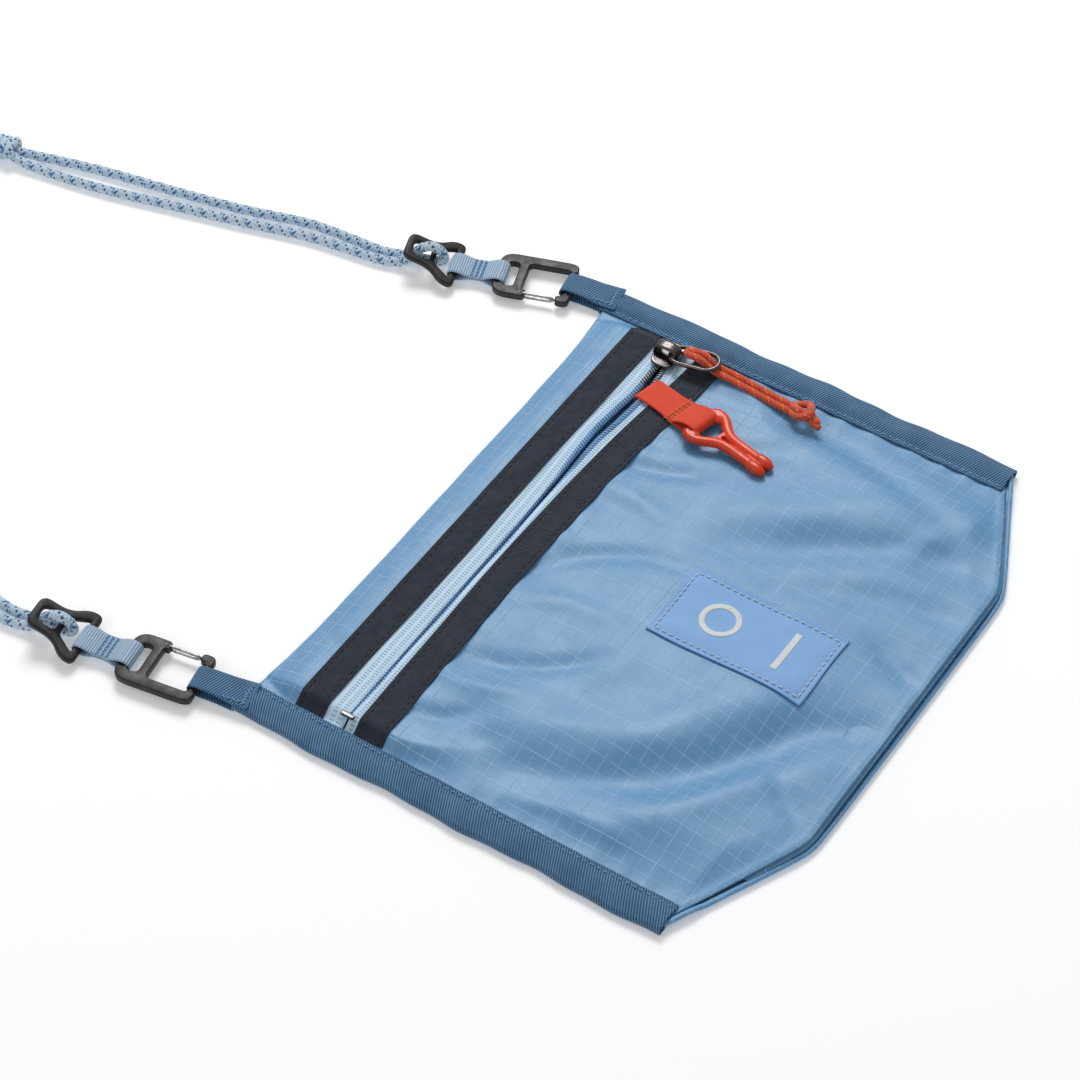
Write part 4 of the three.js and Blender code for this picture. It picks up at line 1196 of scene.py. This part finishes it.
def add_label():
    u, v = np.meshgrid(np.linspace(0, 1, 60), np.linspace(0, 1, 90))
    width, height = LABEL_X[1] - LABEL_X[0], LABEL_Y[1] - LABEL_Y[0]
    x = LABEL_X[0] + width * u + 0.0003 * np.sin(v * 9 + 1) * (u - 0.5)
    y = LABEL_Y[0] + height * v + 0.0004 * np.sin(u * 7) * (v - 0.5)
    from_edge = np.minimum(np.minimum(u, 1 - u) * width, np.minimum(v, 1 - v) * height)
    seam = np.exp(-((from_edge - LABEL_SEAM_INSET) / 0.0009) ** 2)
    pillow = 0.0003 * smooth((from_edge - LABEL_SEAM_INSET) / 0.005)
    curl = 0.0002 * smooth((0.0012 - from_edge) / 0.0012)
    z = label_surface(x, y) + pillow + curl - 0.00022 * seam
    label = shell("label_cloth", stacked(x, y, z), stacked(x, y), 0.00035, M["label"])
    belongs(label, "pouch", "label", "front_label")


def add_emblem():
    """A plain woven ring with a bar below it."""
    angle = np.linspace(0, 2 * math.pi, 73)
    across = np.linspace(-EMBLEM_BAND, EMBLEM_BAND, 6)[:, None]
    x = EMBLEM_CENTRE[0] + (EMBLEM_RADIUS + across) * np.cos(angle)
    y = EMBLEM_CENTRE[1] + (EMBLEM_RADIUS + across) * np.sin(angle)
    rise = 0.0004 + 0.00008 * (1 - (across / EMBLEM_BAND) ** 2)
    ring = stacked(x, y, label_surface(x, y) + rise)[:, ::-1]
    ring = shell("emblem_ring", ring, stacked(angle * EMBLEM_RADIUS, across), EMBLEM_THICKNESS, M["emblem"])
    x, y = np.meshgrid(EMBLEM_CENTRE[0] + EMBLEM_BAR_HALF_LENGTH * np.linspace(-1, 1, 30),
                       EMBLEM_BAR_Y + EMBLEM_BAR_HALF_WIDTH * np.linspace(-1, 1, 6))
    bar = stacked(x, y, label_surface(x, y) + 0.0004)
    bar = shell("emblem_bar", bar, stacked(x, y), EMBLEM_THICKNESS, M["emblem"])
    for piece in (ring, bar):
        weld(piece)
        belongs(piece, "pouch", "label")


def add_label_stitches():
    low = (LABEL_X[0] + LABEL_SEAM_INSET, LABEL_Y[0] + LABEL_SEAM_INSET)
    high = (LABEL_X[1] - LABEL_SEAM_INSET, LABEL_Y[1] - LABEL_SEAM_INSET)
    corners = [low, (high[0], low[1]), high, (low[0], high[1]), low]
    seams = []
    for (x0, y0), (x1, y1) in zip(corners, corners[1:]):
        x, y = np.linspace(x0, x1, 40), np.linspace(y0, y1, 40)
        seams.append((stacked(x, y, label_surface(x, y)), UP))
    sewn = stitches("label_stitches", seams, M["pale_thread"], pitch=0.0026, filled=0.7, radius=0.00026)
    belongs(sewn, "pouch", "label")


# ---------------------------------------------------------------- zip

STRIP_RISE = 0.0013
STRIP_HALF_LENGTH = 0.1048
STRIP_SEAM_HALF_LENGTH = 0.104
STITCH_INSET = 0.0015
TAPE_REACH = 0.012
END_STOP_X = -0.0999


def strip_y(name, x, share):
    """Place of a facing strip's point; share runs from its inner edge, 0, to its outer one, 1."""
    if name == "upper":
        return between(ZIP_Y + STRIP_INNER + 0.0003 * np.sin(x / 0.019), ZIP_Y + STRIP_OUTER, share)
    return between(ZIP_Y - STRIP_INNER, ZIP_Y - STRIP_OUTER, share) + lower_shift(x)


def strip_surface(x, share):
    """Height of a facing strip's upper face."""
    from_edge = np.minimum(share, 1 - share) * (STRIP_OUTER - STRIP_INNER)
    seam = np.exp(-((from_edge - STITCH_INSET) / 0.0007) ** 2)
    tuck = 0.0006 * smooth((np.abs(x) - 0.1025) / 0.003)
    swell = np.sin(x / 0.0041 + 3 * share + 1.6 * np.sin(x / 0.013)) * smooth((from_edge - 0.0018) / 0.002)
    return zip_level(x) + STRIP_RISE - 0.00016 * seam + 0.000154 * swell - tuck


def add_strip(name):
    x = np.linspace(-STRIP_HALF_LENGTH, STRIP_HALF_LENGTH, 320)
    share = np.linspace(0, 1, 44)[:, None]
    y = strip_y(name, x, share)
    grid = stacked(x, y, strip_surface(x, share))
    cloth = shell(f"{name}_strip_cloth", grid, stacked(np.abs(y - y[0]), x), 0.00045, M["strip"],
                  flip=name == "lower")
    belongs(cloth, "pouch", "strip", f"{name}_zip_strip")
    run = np.linspace(-STRIP_SEAM_HALF_LENGTH, STRIP_SEAM_HALF_LENGTH, 400)
    inset = STITCH_INSET / (STRIP_OUTER - STRIP_INNER)
    seams = [(stacked(run, strip_y(name, run, place), strip_surface(run, place)), UP)
             for place in (inset, 1 - inset)]
    sewn = stitches(f"{name}_strip_stitches", seams, M["black_thread"], pitch=0.003, filled=0.74,
                    radius=0.00023)
    belongs(sewn, "pouch", "strip")


def add_tape(name):
    x = np.linspace(-PANEL_HALF_WIDTH, PANEL_HALF_WIDTH, 360)
    share = np.linspace(0, 1, 26)[:, None] ** 1.3
    edge = MOUTHS[name](x)
    hidden = ZIP_Y + TAPE_REACH if name == "upper" else ZIP_Y - TAPE_REACH + lower_shift(x)
    y = between(edge, hidden, share)
    v = np.abs(y - edge)
    roll = 0.00035 * smooth((0.0014 - v) / 0.0014)
    rib = 0.00008 * np.sin(x / 0.00034) * smooth((0.0007 - v) / 0.0007)
    z = zip_level(x) + FABRIC - roll + rib + 0.0001 * np.sin(x / 0.006 + 2 * share)
    tape = shell(f"{name}_tape_cloth", stacked(x, y, z), stacked(x, v), 0.0004, M["tape"],
                 flip=name == "lower")
    belongs(tape, "pouch", "tape", f"{name}_zip_tape")


COIL_ENDS = (-0.099, 0.0905)
COIL_PITCH = 0.00125
COIL_WIRE = 0.00042
COIL_HALF_WIDTH = 0.0009
COIL_HALF_HEIGHT = 0.0006
GREY_COIL_FROM = 0.078


def add_coil(name):
    """A nylon coil of round loops sewn under the tape's edge."""
    outwards = 1 if name == "upper" else -1
    turns = int((COIL_ENDS[1] - COIL_ENDS[0]) / COIL_PITCH)
    turn = np.linspace(0, turns, turns * 14)
    x = COIL_ENDS[0] + turn * COIL_PITCH
    angle = 2 * math.pi * turn
    open_here = smooth((x - 0.02) / 0.03)
    y = MOUTHS[name](x) + outwards * (0.0006 - 0.0005 * open_here - COIL_HALF_WIDTH * np.cos(angle))
    z = zip_level(x) - 0.0007 + 0.0009 * open_here + COIL_HALF_HEIGHT * np.sin(angle)
    line = stacked(x, y, z)
    split = int(np.searchsorted(x, GREY_COIL_FROM))
    main = tube(f"{name}_coil_loops", line[:split + 1], COIL_WIRE, M["coil"], around=7, ends="flat")
    grey = tube(f"{name}_coil_by_slider", line[split:], COIL_WIRE, M["coil_grey"], around=7, ends="flat")
    belongs(main, "pouch", "coil", f"{name}_zip_coil")
    belongs(grey, "pouch", "coil")


def add_end_stop():
    stop = box("end_stop", (-0.0014, -0.0025, -0.0006), (0.0, 0.0025, 0.0006), M["metal"])
    stop.data.transform(Matrix.Translation((END_STOP_X, ZIP_Y, float(zip_level(END_STOP_X)) + 0.0014)))
    edges = stop.modifiers.new("edges", "BEVEL")
    edges.width = 0.0003
    edges.segments = 3
    apply_modifiers(stop)
    belongs(stop, "pouch", "metal", "zip_end_stop")


BRIDGE_FOOT = [(-0.0045, SLIDER_DECK_LEVEL), (-0.0044, 0.0092), (-0.0038, 0.0111), (-0.0018, 0.0119)]
BRIDGE_PATH = BRIDGE_FOOT + [(-y, z) for y, z in reversed(BRIDGE_FOOT)]


def add_slider():
    end, half = SLIDER_LENGTH / 2, SLIDER_WIDTH / 2
    outline = rounded_outline([
        (-end, -0.6 * half, 0.002), (0, -half, 0.0038), (end, -0.85 * half, 0.0016),
        (end, 0.85 * half, 0.0016), (0, half, 0.0038), (-end, 0.6 * half, 0.002),
    ], 8)
    parts = [
        plate("slider_deck", outline, [], 0.0012, 0.0004, M["metal"],
              Matrix.Translation((0, 0, SLIDER_DECK_LEVEL))),
        plate("slider_floor", outline, [], 0.0008, 0.0002, M["metal"],
              Matrix.Translation((0, 0, SLIDER_FLOOR_LEVEL))),
        box("slider_post", (-0.0049, -0.0005, 0.0014), (-0.0019, 0.0005, SLIDER_DECK_LEVEL), M["metal"]),
        ball("slider_dome", (-0.0005, 0.0, 0.0076), (0.0054, 0.0048, 0.0008), M["metal"]),
        strap("slider_bridge", BRIDGE_PATH, BRIDGE_WIDTH, 0.0011, M["metal"], across=6, step=0.0002),
    ]
    body = joined("slider_casting", parts)
    moulded(body, 0.00016, 1)
    body.data.transform(Matrix.Translation((SLIDER_X, ZIP_Y, 0)))
    belongs(body, "zip_slider", "metal", "slider_body")


def add_ring():
    angle = (np.arange(72) + 0.5) * 2 * math.pi / 72
    straight = np.sign(np.sin(angle)) * (RING_LENGTH / 2 - RING_RADIUS)
    y = RING_RADIUS * np.sin(angle) + straight - RING_LENGTH / 2
    line = stacked(RING_RADIUS * np.cos(angle), y, 0.0)
    line = catmull_rom(line[::2], 0.0003, closed=True)[:-1]
    place = Matrix.Translation((SLIDER_X, HINGE_Y, RING_LEVEL)) @ Matrix.Rotation(RING_YAW, 4, "Z")
    matrix = place @ Matrix.Rotation(-RING_LIFT, 4, "X")
    ring = tube("pull_ring_wire", moved(line, matrix), RING_WIRE, M["metal"], closed=True)
    belongs(ring, "zip_pull", "metal", "pull_ring")


# ---------------------------------------------------------------- bindings and their loops

BINDING_INNER = HALF_WIDTH - BINDING_WIDTH


def binding_profile():
    """(x, z) points from the inner edge on top, round the fold, to the inner edge below."""
    inner = BINDING_INNER
    radius = BINDING_HEIGHT / 2
    flat = np.linspace(inner, HALF_WIDTH - radius, 20)
    arc = np.linspace(math.pi / 2, -math.pi / 2, 14)[1:-1]
    seam = np.exp(-((flat - inner - STITCH_INSET) / 0.001) ** 2)
    lip = smooth((inner + 0.0009 - flat) / 0.0009)
    beyond_seam = np.clip((flat - inner - 0.003) / (BINDING_WIDTH - 0.003 - radius), 0, 1)
    roll = 0.0007 * np.sin(math.pi * beyond_seam ** 0.8)
    above = BINDING_HEIGHT - 0.00045 * seam - 0.0002 * lip + roll
    below = 0.00004 + 0.0003 * seam + 0.0001 * lip
    points = list(zip(flat, above))
    points += [(HALF_WIDTH - radius + radius * math.cos(a), radius + radius * math.sin(a)) for a in arc]
    points += list(zip(flat[::-1], below[::-1]))
    return np.array(points)


def binding_wave(y):
    return 0.00045 * np.sin(y / 0.0085 + 1.0) + 0.0002 * np.sin(y / 0.0031)


def add_binding(name):
    side = SIDES[name]["side"]
    profile = binding_profile()
    y = np.linspace(CHAMFER_Y, TOP_Y, 330)
    x = profile[None, :, 0] + binding_wave(y)[:, None] * smooth((profile[:, 0] - 0.104) / 0.004)[None]
    upper = profile[None, :, 1] > BINDING_HEIGHT * 0.6
    z = profile[None, :, 1] + np.where(upper, 0.0001 * np.sin(y / 0.0027)[:, None], 0.0)
    pucker = 0.00012 * np.sin(y / 0.00048)[:, None] * np.exp(-((x - 0.1055) / 0.0014) ** 2)
    z = z + np.where(upper, pucker, 0.0)
    grid = stacked(side * x, y[:, None], z)
    uv = stacked(run_of(profile)[None, :], y[:, None])
    tape = shell(f"{name}_binding_tape", grid, uv, 0.0005, M["binding"], flip=side < 0)
    belongs(tape, "pouch", "binding", f"{name}_binding")
    add_loop(name)
    add_binding_stitches(name)


LOOP_PATH = [(-0.0048, 0.00366), (-0.001, 0.0037), (0.003, 0.004), (0.008, 0.0048), (0.012, 0.0051),
             (0.0146, 0.0051), (0.0163, 0.0046), (0.0171, 0.003), (0.0163, 0.0014), (0.0146, 0.0009),
             (0.009, 0.00075), (0.004, 0.00055), (0.0006, 0.00045)]


def add_loop(name):
    width = curve_through([(-0.006, 0.0118), (0.0, 0.0112), (0.006, 0.01), (0.012, LOOP_WIDTH),
                           (0.02, LOOP_WIDTH)])
    loop = strap(f"{name}_loop_tape", LOOP_PATH, width, 0.0006, M["binding"], loop_matrix(name), across=18)
    belongs(loop, "pouch", "binding")


def add_binding_stitches(name):
    x = SIDES[name]["side"] * (BINDING_INNER + STITCH_INSET)
    run = np.linspace(CHAMFER_Y + 0.001, TOP_Y - 0.006, 500)
    seams = [([(x, y, BINDING_HEIGHT - 0.0004) for y in run], UP),
             ([(x, y, 0.00024) for y in run], (0, 0, -1))]
    root = bartack((-0.0046, -0.0026, 0.0041), (0.0046, -0.0026, 0.0041), (0, 0.0018, 0), 12)
    root += bartack((-0.0042, 0.0052, 0.00475), (-0.0036, -0.004, 0.0041), (0.0007, 0, 0), 5)
    seams += placed_seams(root, loop_matrix(name))
    sewn = stitches(f"{name}_binding_stitches", seams, M["blue_thread"], pitch=0.0026, filled=0.74,
                    radius=0.00027)
    belongs(sewn, "pouch", "binding")


# ---------------------------------------------------------------- strap ends

def end_matrix(name):
    """A strap end's frame, flipped on the left so that both gates face the middle."""
    return strap_frame(name) @ Matrix.Diagonal((SIDES[name]["side"], 1, 1, 1))


CARABINER_BODY = [(0.006, -0.0016), (0.0106, -0.0016, 0.0048), (0.0106, 0.0274, 0.0056),
                  (-0.0103, 0.0274, 0.0056), (-0.0103, 0.0146, 0.0016), (-0.0067, 0.0146, 0.0012),
                  (-0.0067, 0.0162, 0.0004), (0.0066, 0.0162, 0.0018), (0.0066, 0.0015, 0.0012),
                  (0.006, 0.0015)]
CARABINER_SLOT = mirrored([(0.0061, 0.0196, 0.0019), (0.0061, 0.0238, 0.0019)])
CARABINER_NOSE = [(-0.0058, -0.0016), (-0.0058, 0.0015), (-0.0069, 0.0015), (-0.0069, 0.0034, 0.0014),
                  (-0.0102, 0.0034, 0.0016), (-0.0102, -0.0016, 0.0044)]
GATE_X = -0.0085
GATE_SIDE = [(0.016, 0.0009), (0.011, 0.0009), (0.007, 0.00085), (0.0047, 0.0006)]
GATE_WIRE = [(GATE_X, y, z)
             for y, z in GATE_SIDE + [(0.004, 0.0)] + [(y, -z) for y, z in reversed(GATE_SIDE)]]
ADJUSTER_OUTLINE = mirrored([(0.011, -0.0014, 0.0026), (0.011, 0.0036, 0.0032), (0.0062, 0.0092, 0.004),
                             (0.0064, 0.0196, 0.0037)])
ADJUSTER_HOLES = [mirrored([(0.0072, 0.0014, 0.001), (0.0035, 0.0078, 0.0018)]),
                  mirrored([(0.0032, 0.01, 0.0012), (0.0033, 0.0168, 0.0022)])]
WEBBING_TOP = [(0.0255, 0.0022), (0.0276, 0.0021), (0.0296, 0.0013), (0.0311, 0.00065), (0.034, 0.00055),
               (0.0366, 0.00065), (0.0384, 0.0012), (0.0404, 0.0018), (0.0425, 0.002)]


def add_carabiner(name):
    matrix = end_matrix(name)
    body, nose = (
        plate(f"{name}_{part}", rounded_outline(outline), holes, FRAME_THICKNESS, 0.0005, M["black"], matrix)
        for part, outline, holes in (("frame", CARABINER_BODY, [rounded_outline(CARABINER_SLOT)]),
                                     ("nose", CARABINER_NOSE, [])))
    bar_line = moved([(-0.0078 + 0.0004 * i, 0, 0) for i in range(40)], matrix)
    bar = tube(f"{name}_bar", bar_line, 0.00138, M["black"], around=20, ends="flat")
    frame_piece = joined(f"{name}_carabiner_body", [body, nose, bar])
    belongs(frame_piece, f"{name}_strap_end", "black", f"{name}_carabiner_frame")
    wire_line = catmull_rom(moved(GATE_WIRE, matrix), 0.0003)
    wire = tube(f"{name}_gate_wires", wire_line, 0.00052, M["wire"], around=10)
    belongs(wire, f"{name}_gate", "metal", f"{name}_gate_wire")
    pin_line = moved([(GATE_X, 0.0165, z) for z in np.linspace(-0.0016, 0.0016, 9)], matrix)
    pin = tube(f"{name}_rivet", pin_line, 0.0006, M["wire"], ends="flat")
    belongs(pin, f"{name}_strap_end", "metal", f"{name}_gate_pin")


def add_webbing(name):
    matrix = strap_frame(name)
    under = [(y, -z) for y, z in reversed(WEBBING_TOP)]
    path = WEBBING_TOP + [(0.0441, 0.0011), (0.0444, 0.0), (0.0441, -0.0011)] + under
    path += [(0.0237, -0.0013), (0.0233, 0.0), (0.0237, 0.0013)]
    pinch = curve_through([(0.022, 0.01), (0.03, 0.0099), (0.034, 0.0096), (0.038, 0.0099), (0.046, 0.01)])
    belt = strap(f"{name}_webbing_belt", path, pinch, 0.0007, M["webbing"], matrix, closed=True)
    belongs(belt, f"{name}_strap_end", "webbing", f"{name}_webbing_loop")
    seams = []
    for y in (0.032, 0.0338, 0.0356):
        seams += bartack((-0.0045, y, 0.00105), (0.0045, y, 0.00105), (0, 0.0014, 0), 10)
    sewn = stitches(f"{name}_webbing_stitches", placed_seams(seams, matrix), M["blue_thread"], radius=0.00024)
    belongs(sewn, f"{name}_strap_end", "webbing")


def add_adjuster(name):
    matrix = strap_frame(name) @ Matrix.Translation((0, ADJUSTER_Y, 0))
    matrix = matrix @ Matrix.Rotation(ADJUSTER_TILT, 4, "X")
    holes = [rounded_outline(hole) for hole in ADJUSTER_HOLES]
    hook = plate(f"{name}_adjuster_body", rounded_outline(ADJUSTER_OUTLINE, 9), holes, 0.0024, 0.0009,
                 M["black"], matrix, bevel_steps=4)
    belongs(hook, f"{name}_strap_end", "black", f"{name}_cord_adjuster")


# ---------------------------------------------------------------- key strap and clip

KEY_STRAP_PATH = [(0.046, 0.0028), (0.052, 0.0028), (0.056, 0.0029), (0.0568, 0.0038), (0.0569, 0.005),
                  (0.0565, 0.0063), (0.055, 0.0068), (0.053, 0.0069), (0.0515, 0.007), (0.048, 0.0072),
                  (0.042, 0.0072), (0.0386, 0.0076), (0.036, 0.009), (0.0335, 0.0103), (0.0304, 0.0108),
                  (0.0282, 0.0104), (0.0274, 0.0088), (0.0282, 0.0073), (0.0304, 0.0066), (0.0335, 0.0065),
                  (0.037, 0.0064), (0.0405, 0.0064)]


def strap_turn():
    """The key strap's slant: a turn about the point where it leaves the mouth."""
    middle = Matrix.Translation((STRAP_X, STRAP_BEND_Y, 0))
    return middle @ Matrix.Rotation(STRAP_TURN, 4, "Z") @ Matrix.Translation((0, -STRAP_BEND_Y, 0))


def add_key_strap():
    width = curve_through([(0.026, 0.0112), (0.034, STRAP_WIDTH), (0.0405, 0.0121), (0.044, STRAP_WIDTH),
                           (0.058, STRAP_WIDTH)])
    ribbon = strap("key_ribbon", KEY_STRAP_PATH, width, 0.00075, M["strap"], strap_turn(), across=20)
    belongs(ribbon, "pouch", "strap_orange", "key_strap")
    seams = []
    for y in (0.0384, 0.0396, 0.0408):
        seams += bartack((-0.0054, y, 0.0079), (0.0054, y, 0.0079), (0, 0.0014, 0), 12)
    for edge in (-1, 1):
        for k in range(4):
            y = 0.0378 + 0.0011 * k
            root, tip = (edge * 0.0056, y, 0.0073), (edge * (0.0066 + 0.0003 * (k % 2)), y + 0.0006, 0.0076)
            seams.append((np.array([root, tip]), UP))
    sewn = stitches("key_strap_stitches", placed_seams(seams, strap_turn()), M["orange_thread"],
                    radius=0.00021)
    belongs(sewn, "pouch", "strap_orange")


CLIP_ARM = [(0.0066, 0.0004), (0.0074, -0.001), (0.0072, -0.0036), (0.0058, -0.0062), (0.004, -0.0086),
            (0.0026, -0.0112), (0.002, -0.0142), (0.0019, -0.019), (0.0019, -0.024), (0.0021, -0.0284)]
CLIP_WEB = mirrored([(0.0034, -0.0084, 0.001), (0.0021, -0.013, 0.001), (0.002, -0.0284, 0.001)])
CLIP_SLIT = mirrored([(0.0007, -0.01, 0.0006), (0.0004, -0.0216, 0.0003)])
CLIP_TONGUE = mirrored([(0.0003, -0.0146, 0.0002), (0.0003, -0.0226, 0.0003)])
# The swelling at the end of each arm and the one beside the bar: (place, half sizes)
CLIP_BALLS = [((0.0021, -0.0272), (0.0023, 0.0046, 0.0024)), ((0.0064, -0.0018), (0.0026, 0.0034, 0.0019))]
CLIP_FLATNESS = 0.86


def add_key_clip():
    matrix = strap_turn() @ Matrix.Translation((0, CLIP_BAR_Y, CLIP_LEVEL))
    parts = [tube("clip_bar", [(x, 0, 0) for x in np.linspace(-0.0072, 0.0072, 30)], 0.0014, M["clip"])]
    for side in (-1, 1):
        arm = catmull_rom([(side * x, y, 0.0) for x, y in CLIP_ARM], 0.0004)
        parts.append(tube("clip_arm", arm, 0.0019, M["clip"]))
        for place, half_sizes in CLIP_BALLS:
            parts.append(ball("clip_ball", (side * place[0], place[1], 0.0), half_sizes, M["clip"]))
    parts.append(plate("clip_web", rounded_outline(CLIP_WEB), [rounded_outline(CLIP_SLIT)], 0.0022, 0.0004,
                       M["clip"]))
    body = joined("key_clip_moulding", parts)
    moulded(body, 0.00022, 4)
    body.data.transform(matrix @ Matrix.Diagonal((1, 1, CLIP_FLATNESS, 1)))
    belongs(body, "key_clip", "clip_orange", "key_clip_body")
    tongue = plate("key_clip_spring", rounded_outline(CLIP_TONGUE), [], 0.001, 0.0001, M["clip"],
                   matrix @ Matrix.Translation((0, 0, -0.0006)))
    belongs(tongue, "key_clip_gate", "clip_orange", "key_clip_tongue")


# ---------------------------------------------------------------- everything together

add_camera()
add_studio()
add_neck_cord()
for end in ("right", "left"):
    add_strap_cord(end)
add_pull_cord()
add_front_panel()
add_front_top_panel()
add_back_panel()
add_gusset()
add_label()
add_emblem()
add_label_stitches()
for half in ("upper", "lower"):
    add_strip(half)
    add_tape(half)
    add_coil(half)
add_end_stop()
add_slider()
add_ring()
add_key_strap()
add_key_clip()
for end in SIDES:
    add_binding(end)
    add_carabiner(end)
    add_webbing(end)
    add_adjuster(end)
